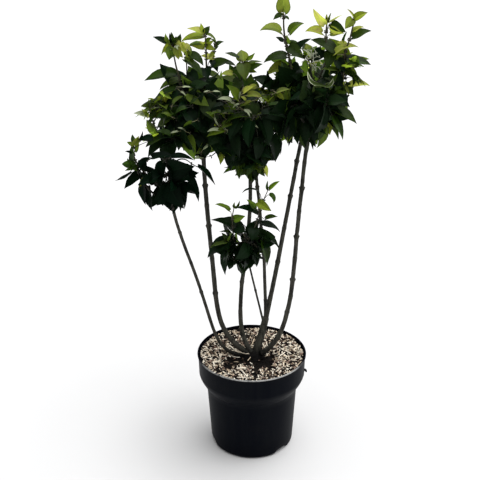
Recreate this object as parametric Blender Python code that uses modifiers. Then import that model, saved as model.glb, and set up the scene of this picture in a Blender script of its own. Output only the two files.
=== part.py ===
"""Potted lilac shrub: seven bare stems from one root crown, a broken crown of
leafy heads, in a black nursery pot filled with mulched compost.

Metres, +Z up.  Origin: centre of the pot's flat underside.  -Y is the front.
"""
import bpy
import bmesh
import math
import random
from mathutils import Vector
from mathutils.bvhtree import BVHTree

# ---------------------------------------------------------------- sizes
POT_RIM_R = 0.1300         # outer radius of the rim bead
POT_HEIGHT = 0.2410
POT_COLLAR_R = 0.1278      # outer radius of the upright collar
POT_COLLAR_FOOT = 0.1880   # where the collar starts to curve in
POT_COLLAR_FOOT_R = 0.1264
POT_SHOULDER_R = 0.1085    # body radius just under the shoulder
POT_SHOULDER_Z = 0.1555
POT_BASE_R = 0.0987        # body radius just above the rounded bottom edge
POT_WALL = 0.0022
POT_FLOOR = 0.0030
POT_SEGMENTS = 32
DRAIN_HOLES = 8
DRAIN_RING_R = 0.0720
DRAIN_R = 0.0060
LUG_ANGLE = math.radians(-5.0)
LUG_Z = 0.1935

SOIL_Z = 0.2275            # level that the root crown stands on
GAP = 0.0004               # clearance between neighbouring solids

CROWN_CENTRE = (0.0035, -0.0015)
CROWN_RX, CROWN_RY, CROWN_H = 0.0260, 0.0180, 0.0240

# Limbs: name, Bezier controls foot -> tip, radius at foot and at tip, flare at
# the foot, straight run added at the tip, rings.
STEMS = [
    ("stem_far_left", [(-0.0065, -0.0043, 0.2390), (-0.1244, 0.0040, 0.2098), (-0.0732, -0.0040, 0.3866),
                       (-0.1518, -0.0300, 0.4824), (-0.1701, -0.0950, 0.6490)], 0.0040, 0.0034, 0.25, 0.030, 13),
    ("stem_left", [(-0.0101, -0.0053, 0.2410), (-0.1205, 0.0200, 0.3017), (-0.0621, 0.0280, 0.3949),
                   (-0.1066, 0.0400, 0.4949), (-0.1097, 0.0550, 0.7170)], 0.0058, 0.0048, 0.25, 0.090, 12),
    ("stem_back", [(-0.0005, -0.0063, 0.2430), (-0.0609, 0.0300, 0.3092), (0.0019, 0.0750, 0.4370),
                   (-0.0045, 0.1000, 0.6567)], 0.0052, 0.0041, 0.25, 0.130, 11),
    ("short_trunk", [(0.0104, 0.0003, 0.2390), (0.0180, 0.0040, 0.2680), (0.0262, 0.0130, 0.2880),
                     (0.0330, 0.0220, 0.3200)], 0.0090, 0.0078, 0.20, 0.000, 6),
    ("stem_centre", [(0.0330, 0.0220, 0.3170), (0.0315, 0.0240, 0.3616), (0.0305, -0.0100, 0.4922),
                     (0.0054, -0.0350, 0.7219)], 0.0040, 0.0034, 0.10, 0.010, 12),
    ("stem_right_back", [(0.0330, 0.0220, 0.3170), (0.0428, 0.0300, 0.3547), (0.0709, 0.0600, 0.5120),
                         (0.1077, 0.1000, 0.7152)], 0.0056, 0.0041, 0.10, 0.125, 10),
    ("stem_thin", [(0.0300, 0.0180, 0.3020), (0.0242, 0.0000, 0.3341), (0.0154, -0.0500, 0.3933),
                   (-0.0114, -0.0750, 0.5257)], 0.0026, 0.0021, 0.15, 0.000, 10),
    ("stem_right", [(0.0246, -0.0075, 0.2410), (0.1082, -0.0200, 0.3074), (0.0855, -0.0400, 0.4814),
                    (0.1132, -0.0550, 0.7832)], 0.0056, 0.0041, 0.30, 0.040, 12),
]
# Limbs inside the crown: each runs from one mass into the next.
BOUGHS = [
    ("leader", [(0.0850, 0.0670, 0.9000), (0.0790, 0.0780, 0.9350), (0.0690, 0.0880, 0.9680),
                (0.0621, 0.0850, 1.0100)], 0.0026, 0.0018, 0.0, 0.000, 6),
    ("bough_right_tip_west", [(0.1320, 0.0060, 0.8850), (0.1360, -0.0040, 0.9200), (0.1410, -0.0160, 0.9560),
                              (0.1420, -0.0200, 1.0000)], 0.0022, 0.0017, 0.0, 0.000, 5),
    ("bough_right_tip_east", [(0.1930, -0.0200, 0.9650), (0.1970, -0.0240, 0.9820), (0.2010, -0.0280, 0.9960),
                              (0.2050, -0.0300, 1.0150)], 0.0020, 0.0016, 0.0, 0.000, 4),
    ("bough_left_tip_west", [(-0.1580, 0.0400, 0.8800), (-0.1610, 0.0390, 0.9050), (-0.1650, 0.0360, 0.9280),
                             (-0.1700, 0.0350, 0.9500)], 0.0022, 0.0018, 0.0, 0.000, 4),
    ("bough_left_tip_east", [(-0.1060, 0.0500, 0.8650), (-0.1020, 0.0540, 0.8900), (-0.1040, 0.0580, 0.9120),
                             (-0.1040, 0.0600, 0.9400)], 0.0022, 0.0018, 0.0, 0.000, 4),
    ("bough_centre_tip", [(-0.0230, 0.0640, 0.8450), (-0.0250, 0.0600, 0.8650), (-0.0275, 0.0540, 0.8850),
                          (-0.0280, 0.0500, 0.9050)], 0.0022, 0.0018, 0.0, 0.000, 4),
    ("bough_low_centre_west", [(-0.0400, -0.0870, 0.5850), (-0.0450, -0.0890, 0.6050), (-0.0510, -0.0900, 0.6220),
                               (-0.0560, -0.0900, 0.6420)], 0.0020, 0.0015, 0.0, 0.000, 4),
    ("bough_low_centre_east", [(0.0100, -0.0850, 0.5850), (0.0160, -0.0850, 0.6080), (0.0240, -0.0850, 0.6260),
                               (0.0310, -0.0850, 0.6500)], 0.0020, 0.0015, 0.0, 0.000, 4),
]
# Which masses each limb ends in or starts from.
JOINED = {
    "stem_far_left": ("low_left_head",),
    "stem_left": ("left_crown", "left_under", "centre_left"),
    "stem_back": ("centre_crown", "centre_back"),
    "stem_centre": ("centre_skirt",),
    "stem_right_back": ("right_crown", "right_under", "right_back"),
    "stem_thin": ("low_centre_head",),
    "stem_right": ("right_front", "right_under"),
    "leader": ("right_crown", "right_top", "leader_tip"),
    "bough_right_tip_west": ("right_crown", "right_front", "right_top", "right_tip_west"),
    "bough_right_tip_east": ("right_shoulder", "right_tip_east"),
    "bough_left_tip_west": ("left_crown", "left_tip_west"),
    "bough_left_tip_east": ("left_crown", "left_tip_east"),
    "bough_centre_tip": ("centre_crown", "centre_tip"),
    "bough_low_centre_west": ("low_centre_head", "low_centre_west"),
    "bough_low_centre_east": ("low_centre_head", "low_centre_east"),
}
# Foliage masses: name, centre, half sizes, seed, unevenness, fineness, taper
# (how much narrower the foot is than the middle; below 0 the head is narrower).
MASSES = [
    ("left_crown",      (-0.141, 0.040, 0.838), (0.077, 0.085, 0.069), 11, 0.14, 3, 0.00),
    ("right_crown",     (0.099, 0.055, 0.860), (0.080, 0.085, 0.072), 12, 0.13, 3, 0.00),
    ("right_front",     (0.136, -0.055, 0.862), (0.064, 0.070, 0.074), 13, 0.13, 3, 0.24),
    ("low_left_head",   (-0.174, -0.090, 0.711), (0.067, 0.070, 0.060), 14, 0.14, 3, 0.06),
    ("centre_crown",    (-0.006, 0.070, 0.815), (0.058, 0.075, 0.058), 15, 0.12, 3, 0.00),
    ("centre_skirt",    (-0.004, -0.035, 0.752), (0.062, 0.063, 0.052), 16, 0.14, 3, 0.16),
    ("low_centre_head", (-0.015, -0.087, 0.556), (0.074, 0.048, 0.059), 17, 0.15, 3, 0.10),
    ("centre_left",     (-0.067, 0.010, 0.797), (0.052, 0.070, 0.056), 18, 0.12, 2, 0.05),
    ("left_under",      (-0.172, -0.012, 0.778), (0.066, 0.068, 0.030), 19, 0.10, 2, 0.10),
    ("right_under",     (0.095, 0.030, 0.786), (0.053, 0.070, 0.024), 20, 0.10, 2, 0.10),
    ("right_top",       (0.120, 0.030, 0.955), (0.042, 0.050, 0.028), 36, 0.12, 2, 0.00),
    ("right_shoulder",  (0.196, -0.020, 0.938), (0.046, 0.058, 0.046), 21, 0.13, 2, 0.00),
    ("left_tip_west",   (-0.179, 0.035, 0.958), (0.036, 0.038, 0.034), 22, 0.12, 2, 0.05),
    ("left_tip_east",   (-0.103, 0.060, 0.956), (0.041, 0.042, 0.046), 23, 0.12, 2, 0.00),
    ("centre_tip",      (-0.028, 0.050, 0.919), (0.037, 0.038, 0.035), 24, 0.12, 2, 0.10),
    ("right_tip_west",  (0.139, -0.020, 1.017), (0.033, 0.033, 0.038), 25, 0.12, 2, 0.00),
    ("right_tip_east",  (0.207, -0.030, 1.033), (0.034, 0.033, 0.032), 26, 0.12, 2, 0.05),
    ("leader_tip",      (0.062, 0.085, 1.032), (0.042, 0.040, 0.042), 27, 0.08, 2, -0.35),
    ("leader_waist",    (0.053, 0.090, 0.935), (0.032, 0.034, 0.030), 28, 0.10, 2, 0.00),
    ("left_side_spray", (-0.238, 0.020, 0.832), (0.026, 0.038, 0.027), 29, 0.12, 2, 0.00),
    ("low_left_spray",  (-0.257, -0.085, 0.760), (0.025, 0.034, 0.051), 30, 0.12, 2, 0.00),
    ("low_centre_west", (-0.057, -0.090, 0.646), (0.033, 0.028, 0.025), 31, 0.12, 2, 0.10),
    ("low_centre_east", (0.033, -0.085, 0.664), (0.026, 0.028, 0.037), 32, 0.12, 2, 0.00),
    ("left_back",       (-0.132, 0.160, 0.808), (0.064, 0.060, 0.062), 33, 0.13, 2, 0.10),
    ("centre_back",     (-0.005, 0.176, 0.785), (0.061, 0.058, 0.050), 34, 0.12, 2, 0.10),
    ("right_back",      (0.120, 0.180, 0.838), (0.072, 0.064, 0.062), 35, 0.13, 2, 0.10),
]

# ---------------------------------------------------------------- set-up
for ob in list(bpy.data.objects):
    bpy.data.objects.remove(ob, do_unlink=True)

plant = bpy.data.collections.new("potted_lilac")
bpy.context.scene.collection.children.link(plant)
tools = bpy.data.collections.new("cutters")
bpy.context.scene.collection.children.link(tools)


def material(name, colour, roughness, metallic=0.0):
    mat = bpy.data.materials.new(name)
    mat.use_nodes = True
    bsdf = mat.node_tree.nodes["Principled BSDF"]
    bsdf.inputs["Base Color"].default_value = (*colour, 1.0)
    bsdf.inputs["Roughness"].default_value = roughness
    bsdf.inputs["Metallic"].default_value = metallic
    return mat


POT_MAT = material("pot_black_plastic", (0.014, 0.016, 0.019), 0.36)
SOIL_MAT = material("bark_mulch", (0.33, 0.25, 0.17), 0.95)
BARK_MAT = material("bark", (0.075, 0.062, 0.047), 0.85)
LEAF_MAT = material("foliage", (0.075, 0.125, 0.045), 0.60)
TIP_MAT = material("young_foliage", (0.24, 0.33, 0.07), 0.60)


def link(ob, collection=plant, mat=None):
    collection.objects.link(ob)
    if mat is not None:
        ob.data.materials.clear()
        ob.data.materials.append(mat)
    if collection is tools:
        ob.hide_render = True
        ob.display_type = 'WIRE'
    return ob


def evaluated(ob):
    bpy.context.view_layer.update()
    return bpy.data.meshes.new_from_object(ob.evaluated_get(bpy.context.evaluated_depsgraph_get()))


def keep_largest(mesh):
    """Leave only the biggest closed body of a mesh that a cut has divided."""
    bm = bmesh.new()
    bm.from_mesh(mesh)
    bmesh.ops.remove_doubles(bm, verts=bm.verts, dist=2e-6)
    bmesh.ops.dissolve_degenerate(bm, edges=bm.edges, dist=2e-6)
    left = set(bm.faces)
    bodies = []
    while left:
        stack = [left.pop()]
        body = list(stack)
        while stack:
            face = stack.pop()
            for edge in face.edges:
                for other in edge.link_faces:
                    if other in left:
                        left.discard(other)
                        stack.append(other)
                        body.append(other)
        bodies.append(body)
    bodies.sort(key=lambda b: sum(f.calc_area() for f in b), reverse=True)
    for body in bodies[1:]:
        bmesh.ops.delete(bm, geom=body, context='FACES')
    loose = [v for v in bm.verts if not v.link_faces]
    bmesh.ops.delete(bm, geom=loose, context='VERTS')
    bmesh.ops.triangulate(bm, faces=bm.faces)
    bm.to_mesh(mesh)
    bm.free()


def boolean(ob, cutter, operation='DIFFERENCE'):
    """Apply one Boolean and keep the largest body."""
    mod = ob.modifiers.new(operation.lower(), 'BOOLEAN')
    mod.operation = operation
    mod.solver = 'EXACT'
    mod.object = cutter
    mesh = evaluated(ob)
    ob.modifiers.remove(mod)
    keep_largest(mesh)
    old = ob.data
    ob.data = mesh
    bpy.data.meshes.remove(old)


def touches(a, b):
    trees = []
    for ob in (a, b):
        bm = bmesh.new()
        bm.from_mesh(ob.data)
        bm.transform(ob.matrix_world)
        trees.append(BVHTree.FromBMesh(bm))
        bm.free()
    return bool(trees[0].overlap(trees[1]))


# ---------------------------------------------------------------- pot
def turned(name, profile, steps, mat):
    """A closed profile at +X, running down its outer side, turned round Z."""
    mesh = bpy.data.meshes.new(name)
    mesh.from_pydata([(r, 0.0, z) for r, z in profile],
                     [(i, i + 1) for i in range(len(profile) - 1)], [])
    ob = link(bpy.data.objects.new(name, mesh), plant, mat)
    screw = ob.modifiers.new("turn", 'SCREW')
    screw.steps = screw.render_steps = steps
    screw.use_merge_vertices = True
    screw.merge_threshold = 0.0001
    screw.use_smooth_shade = True
    return ob


def shoulder(r0, z0, r1, z1, count):
    """Points on the pot's shoulder, which leaves the collar upright and curves in to the body."""
    pts = []
    for i in range(1, count):
        t = i / count
        pts.append((r0 + (r1 - r0) * t ** 1.35, z0 + (z1 - z0) * t))
    return pts


def shell(name, profile):
    form = turned(name + "_form", profile, POT_SEGMENTS, POT_MAT)
    ob = link(bpy.data.objects.new(name, evaluated(form)), plant, POT_MAT)
    bpy.data.objects.remove(form, do_unlink=True)
    return ob


# The body, from the flat underside up to the top of the shoulder ...
step_in = shoulder(POT_COLLAR_FOOT_R, POT_COLLAR_FOOT, POT_SHOULDER_R, POT_SHOULDER_Z, 3)
body_outside = [(POT_COLLAR_FOOT_R, POT_COLLAR_FOOT)] + step_in
body_outside += [(POT_SHOULDER_R, POT_SHOULDER_Z), (POT_BASE_R, 0.0100), (POT_BASE_R - 0.0022, 0.0034),
                 (POT_BASE_R - 0.0075, 0.0)]
body_inside = [(POT_BASE_R - POT_WALL - 0.0045, POT_FLOOR), (POT_BASE_R - POT_WALL, POT_FLOOR + 0.0070),
               (POT_SHOULDER_R - POT_WALL, POT_SHOULDER_Z + 0.0010)]
body_inside += [(r - POT_WALL * 0.9, z + POT_WALL * 0.6) for r, z in reversed(step_in)]
body_inside += [(POT_COLLAR_FOOT_R - POT_WALL, POT_COLLAR_FOOT)]
pot = shell("pot", body_outside + [(0.0, 0.0), (0.0, POT_FLOOR)] + body_inside + [body_outside[0]])

# ... and the upright collar with its rim bead.
collar_profile = [(POT_RIM_R - 0.0006, POT_HEIGHT), (POT_RIM_R, POT_HEIGHT - 0.0008),
                  (POT_RIM_R, POT_HEIGHT - 0.0030), (POT_COLLAR_R + 0.0006, POT_HEIGHT - 0.0044),
                  (POT_COLLAR_FOOT_R, POT_COLLAR_FOOT + GAP), (POT_COLLAR_FOOT_R - POT_WALL, POT_COLLAR_FOOT + GAP),
                  (POT_COLLAR_R - POT_WALL + 0.0006, POT_HEIGHT - 0.0006),
                  (POT_COLLAR_R - POT_WALL + 0.0012, POT_HEIGHT)]
collar = shell("pot_collar", collar_profile + [collar_profile[0]])

for i in range(DRAIN_HOLES):
    a = math.tau * (i + 0.5) / DRAIN_HOLES
    bpy.ops.mesh.primitive_cylinder_add(vertices=8, radius=DRAIN_R, depth=0.02,
                                        location=(DRAIN_RING_R * math.cos(a), DRAIN_RING_R * math.sin(a), 0.0))
    drill = bpy.context.object
    boolean(pot, drill)
    bpy.data.objects.remove(drill, do_unlink=True)

# lifting lug: a small moulded hook low on the collar
bm = bmesh.new()
bmesh.ops.create_cone(bm, cap_ends=True, segments=8, radius1=0.0030, radius2=0.0016, depth=0.0075)
mesh = bpy.data.meshes.new("lug_form")
bm.to_mesh(mesh)
bm.free()
lug = link(bpy.data.objects.new("lug_form", mesh), tools)
lug.location = ((POT_COLLAR_FOOT_R + 0.0016) * math.cos(LUG_ANGLE), (POT_COLLAR_FOOT_R + 0.0016) * math.sin(LUG_ANGLE), LUG_Z)
lug.rotation_euler = (0.0, math.radians(100.0), LUG_ANGLE)
boolean(collar, lug, 'UNION')
bpy.data.objects.remove(lug, do_unlink=True)
for ob in (pot, collar):
    ob.data.shade_smooth()
    ob.data.set_sharp_from_angle(angle=math.radians(38.0))

# ---------------------------------------------------------------- compost
CLEAR = 0.0006
compost_profile = [(0.0, SOIL_Z), (0.0450, SOIL_Z), (0.1000, SOIL_Z + 0.0030), (POT_COLLAR_R - POT_WALL - CLEAR, SOIL_Z - 0.0010),
                   (POT_COLLAR_FOOT_R - POT_WALL - CLEAR, POT_COLLAR_FOOT + 0.0030)]
compost_profile += [(r - POT_WALL - 2.2 * CLEAR, z + 0.0020) for r, z in
                    shoulder(POT_COLLAR_FOOT_R, POT_COLLAR_FOOT, POT_SHOULDER_R, POT_SHOULDER_Z, 3)]
compost_profile += [(POT_SHOULDER_R - POT_WALL - CLEAR, POT_SHOULDER_Z),
                    (POT_BASE_R - POT_WALL - CLEAR, POT_FLOOR + 0.0080),
                    (POT_BASE_R - POT_WALL - 0.0056, POT_FLOOR + CLEAR), (0.0, POT_FLOOR + CLEAR)]
compost_form = turned("compost_form", compost_profile, POT_SEGMENTS, SOIL_MAT)
compost = link(bpy.data.objects.new("compost", evaluated(compost_form)), plant, SOIL_MAT)
bpy.data.objects.remove(compost_form, do_unlink=True)
keep_largest(compost.data)

# ---------------------------------------------------------------- root crown
def root_crown(name, grow, collection):
    """A low flared knob with a flat cut at soil level."""
    bm = bmesh.new()
    bmesh.ops.create_cone(bm, cap_ends=True, segments=16, radius1=1.0, radius2=0.55, depth=1.0)
    side = [e for e in bm.edges if abs(e.verts[0].co.z - e.verts[1].co.z) > 0.5]
    bmesh.ops.subdivide_edges(bm, edges=side, cuts=2)
    for v in bm.verts:
        a = math.atan2(v.co.y, v.co.x)
        h = v.co.z + 0.5
        lobes = 1.0 + 0.09 * math.sin(3.0 * a + 0.6) * (1.0 - 0.4 * h) + 0.05 * math.sin(5.0 * a + 2.0)
        flare = 1.0 + 0.16 * (1.0 - h) ** 3 - 0.10 * math.sin(math.pi * h)
        v.co.x = CROWN_CENTRE[0] + (v.co.x * lobes * flare) * (CROWN_RX + grow)
        v.co.y = CROWN_CENTRE[1] + (v.co.y * lobes * flare) * (CROWN_RY + grow)
        v.co.z = SOIL_Z + GAP + h * (CROWN_H + grow) - (grow if h < 0.01 else 0.0)
    mesh = bpy.data.meshes.new(name)
    bm.to_mesh(mesh)
    bm.free()
    return link(bpy.data.objects.new(name, mesh), collection, BARK_MAT)


crown = root_crown("root_crown", 0.0, plant)
fat_crown = root_crown("fat_root_crown", GAP, tools)


# ---------------------------------------------------------------- limbs
def bezier(controls, t):
    pts = [Vector(c) for c in controls]
    while len(pts) > 1:
        pts = [a.lerp(b, t) for a, b in zip(pts, pts[1:])]
    return pts[0]


def limb(spec, grow, collection):
    name, controls, r0, r1, flare, run, rings = spec
    count = rings * 4
    path = [bezier(controls, i / count) for i in range(count + 1)]
    if run:
        end = (path[-1] - path[-2]).normalized()
        path += [path[-1] + end * run * k / 4.0 for k in range(1, 5)]
    length = [0.0]
    for a, b in zip(path, path[1:]):
        length.append(length[-1] + (b - a).length)
    points = []
    for k in range(rings):
        want = length[-1] * k / (rings - 1)
        i = min(max(j for j in range(len(length)) if length[j] <= want + 1e-9), len(path) - 2)
        f = (want - length[i]) / max(length[i + 1] - length[i], 1e-9)
        points.append((path[i].lerp(path[i + 1], min(max(f, 0.0), 1.0)), want))
    curve = bpy.data.curves.new(name, 'CURVE')
    curve.dimensions = '3D'
    curve.bevel_depth = 1.0
    curve.bevel_resolution = 2
    curve.render_resolution_u = 0
    curve.use_fill_caps = True
    spline = curve.splines.new('POLY')
    spline.points.add(rings - 1)
    for point, (co, s) in zip(spline.points, points):
        point.co = (*co, 1.0)
        radius = r0 + (r1 - r0) * s / length[-1]
        radius *= 1.0 + flare * math.exp(-s / 0.035)
        point.radius = radius + grow
    guide = link(bpy.data.objects.new(name + "_guide", curve), tools)
    mesh = evaluated(guide)
    bm = bmesh.new()
    bm.from_mesh(mesh)
    bmesh.ops.remove_doubles(bm, verts=bm.verts, dist=1e-6)
    bmesh.ops.triangulate(bm, faces=bm.faces)
    bmesh.ops.recalc_face_normals(bm, faces=bm.faces)
    bm.to_mesh(mesh)
    bm.free()
    bpy.data.objects.remove(guide, do_unlink=True)
    ob = link(bpy.data.objects.new(name, mesh), collection, BARK_MAT)
    ob.data.shade_smooth()
    return ob


limbs, fat_limbs = {}, {}
for spec in STEMS + BOUGHS:
    limbs[spec[0]] = limb(spec, 0.0, plant)
    fat = limb(("fat_" + spec[0], *spec[1:]), GAP, tools)
    fat_limbs[spec[0]] = fat


# ---------------------------------------------------------------- foliage
def foliage(spec, grow, collection):
    """A closed uneven body: a ball stretched to its half sizes and swollen by slow waves."""
    name, centre, half, seed, rough, fineness, taper = spec
    rng = random.Random(seed)
    waves = []
    for k in range(7):
        d = Vector((rng.gauss(0, 1), rng.gauss(0, 1), rng.gauss(0, 1))).normalized()
        waves.append((d * rng.uniform(1.8, 5.2), rng.uniform(0.0, math.tau), rng.uniform(0.4, 1.0)))
    total = math.sqrt(sum(w[2] ** 2 for w in waves) / 2.0)
    bm = bmesh.new()
    bmesh.ops.create_icosphere(bm, subdivisions=fineness, radius=1.0)
    swell = 1.03 if fineness > 2 else 1.06
    for v in bm.verts:
        d = v.co.normalized()
        s = sum(a * math.sin(k.dot(d) + p) for k, p, a in waves) / total
        s = swell + rough * max(-1.6, min(1.3, s)) * 0.75
        wide = 1.0 + taper * d.z
        v.co = Vector((d.x * wide * half[0], d.y * wide * half[1], d.z * half[2])) * s + Vector(centre)
    bm.normal_update()
    if grow:
        moved = [(v, v.co + v.normal * grow * 1.15) for v in bm.verts]
        for v, co in moved:
            v.co = co
    mesh = bpy.data.meshes.new(name)
    bm.to_mesh(mesh)
    bm.free()
    tip = "tip" in name or "spray" in name or "low_centre_" in name and "head" not in name
    return link(bpy.data.objects.new(name, mesh), collection, TIP_MAT if tip else LEAF_MAT)


masses, fat_masses = {}, {}
for spec in MASSES:
    masses[spec[0]] = foliage(spec, 0.0, plant)
    fat_masses[spec[0]] = foliage(("fat_" + spec[0], *spec[1:]), GAP, tools)

# each mass gives way to the ones before it in the list
names = list(masses)
for i, name in enumerate(names):
    for earlier in names[:i]:
        if touches(masses[name], fat_masses[earlier]):
            boolean(masses[name], fat_masses[earlier])

# limbs end at the masses they join and at the root crown; every other mass is cut round them
order = list(limbs)
for i, name in enumerate(order):
    for earlier in order[:i]:
        if touches(limbs[name], fat_limbs[earlier]):
            boolean(limbs[name], fat_limbs[earlier])
    if touches(limbs[name], fat_crown):
        boolean(limbs[name], fat_crown)
    for mass in names:
        if mass in JOINED.get(name, ()):
            if touches(limbs[name], fat_masses[mass]):
                boolean(limbs[name], fat_masses[mass])
        elif touches(masses[mass], fat_limbs[name]):
            boolean(masses[mass], fat_limbs[name])

for ob in list(tools.objects):
    bpy.data.objects.remove(ob, do_unlink=True)
for ob in plant.objects:
    ob.data.name = ob.name
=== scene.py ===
"""Looks of the potted lilac: bark, twigs, leaves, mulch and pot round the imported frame.

Metres, +Z up, the same frame as the CAD part.  -Y is the front.
"""
import math

import bmesh
import bpy
import numpy as np
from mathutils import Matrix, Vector


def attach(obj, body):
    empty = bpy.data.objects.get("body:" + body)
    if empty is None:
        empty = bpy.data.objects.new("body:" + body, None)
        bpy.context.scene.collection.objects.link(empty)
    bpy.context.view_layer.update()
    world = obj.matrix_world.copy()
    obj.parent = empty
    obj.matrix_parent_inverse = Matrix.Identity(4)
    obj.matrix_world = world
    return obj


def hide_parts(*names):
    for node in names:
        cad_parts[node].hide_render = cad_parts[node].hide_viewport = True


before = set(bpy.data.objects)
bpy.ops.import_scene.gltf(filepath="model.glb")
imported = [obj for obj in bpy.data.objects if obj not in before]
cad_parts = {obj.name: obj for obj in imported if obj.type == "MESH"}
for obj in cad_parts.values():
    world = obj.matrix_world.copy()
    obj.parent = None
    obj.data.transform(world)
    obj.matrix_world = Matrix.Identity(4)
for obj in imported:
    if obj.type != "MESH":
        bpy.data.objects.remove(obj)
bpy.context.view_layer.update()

# ------------------------------------------------------------------ camera
EYE = np.array([-0.028, -2.0, 1.456])
LOOK_DOWN = math.radians(24.73)
FOCAL = 970.0                      # in pixels of the 480 x 480 frame
UP = np.array([0.0, 0.0, 1.0])


def at(u, v, y):
    """The point at depth y that the camera sees at (u, v) of its 480 x 480 frame."""
    a, b = (u - 240.0) / FOCAL, (240.0 - v) / FOCAL
    ray = np.array([a, b * math.sin(LOOK_DOWN) + math.cos(LOOK_DOWN), b * math.cos(LOOK_DOWN) - math.sin(LOOK_DOWN)])
    return EYE + ray * ((y - EYE[1]) / ray[1])


def on_level(u, v, z):
    """The point at height z that the camera sees at (u, v)."""
    a, b = (u - 240.0) / FOCAL, (240.0 - v) / FOCAL
    ray = np.array([a, b * math.sin(LOOK_DOWN) + math.cos(LOOK_DOWN), b * math.cos(LOOK_DOWN) - math.sin(LOOK_DOWN)])
    return EYE + ray * ((z - EYE[2]) / ray[2])


# ------------------------------------------------------------------ small vector tools
def unit(v):
    v = np.asarray(v, float)
    return v / max(np.linalg.norm(v), 1e-9)


def bezier(controls, ts):
    """Points on a Bezier curve of any degree at the parameters ts."""
    c = np.asarray(controls, float)
    n = len(c) - 1
    ts = np.asarray(ts, float)[:, None]
    out = 0
    for i in range(n + 1):
        out = out + math.comb(n, i) * (1 - ts) ** (n - i) * ts ** i * c[i]
    return out


def spline(points, n):
    """A smooth line through the points, n steps to a span."""
    q = [np.asarray(p, float) for p in points]
    e = [2 * q[0] - q[1]] + q + [2 * q[-1] - q[-2]]
    out = []
    for i in range(1, len(e) - 2):
        a, b, c, d = e[i - 1:i + 3]
        for t in np.linspace(0, 1, n, endpoint=False):
            out.append(0.5 * (2 * b + (c - a) * t + (2 * a - 5 * b + 4 * c - d) * t * t + (3 * b - a - 3 * c + d) * t ** 3))
    out.append(q[-1])
    return np.array(out)


def turn(v, axis, angle):
    axis = unit(axis)
    return v * math.cos(angle) + np.cross(axis, v) * math.sin(angle) + axis * axis.dot(v) * (1 - math.cos(angle))


def near_on(controls, p, count=60):
    """The point of a limb nearest to p, and the limb's direction there."""
    b = bezier(controls, np.linspace(0, 1, count))
    i = int(np.argmin(np.linalg.norm(b - p, axis=1)))
    return b[i], unit(b[min(i + 1, count - 1)] - b[max(i - 1, 0)])


def even(points, step):
    """The same line with points an even step apart, and the length run at each."""
    points = np.asarray(points, float)
    run = np.concatenate([[0], np.cumsum(np.linalg.norm(np.diff(points, axis=0), axis=1))])
    count = max(int(run[-1] / step) + 1, 3)
    want = np.linspace(0, run[-1], count)
    return np.stack([np.interp(want, run, points[:, k]) for k in range(3)], 1), want


def frames(points):
    """Directions across a line at each point, carried along it without a twist."""
    d = np.gradient(points, axis=0)
    d /= np.linalg.norm(d, axis=1, keepdims=True) + 1e-12
    a = np.zeros_like(points)
    first = np.cross(d[0], [0.0, 1.0, 0.0])
    if np.linalg.norm(first) < 0.2:
        first = np.cross(d[0], [1.0, 0.0, 0.0])
    a[0] = unit(np.cross(first, d[0]))
    for i in range(1, len(points)):
        p = a[i - 1] - d[i] * a[i - 1].dot(d[i])
        a[i] = p / (np.linalg.norm(p) + 1e-12)
    return a, np.cross(d, a), d


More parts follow.
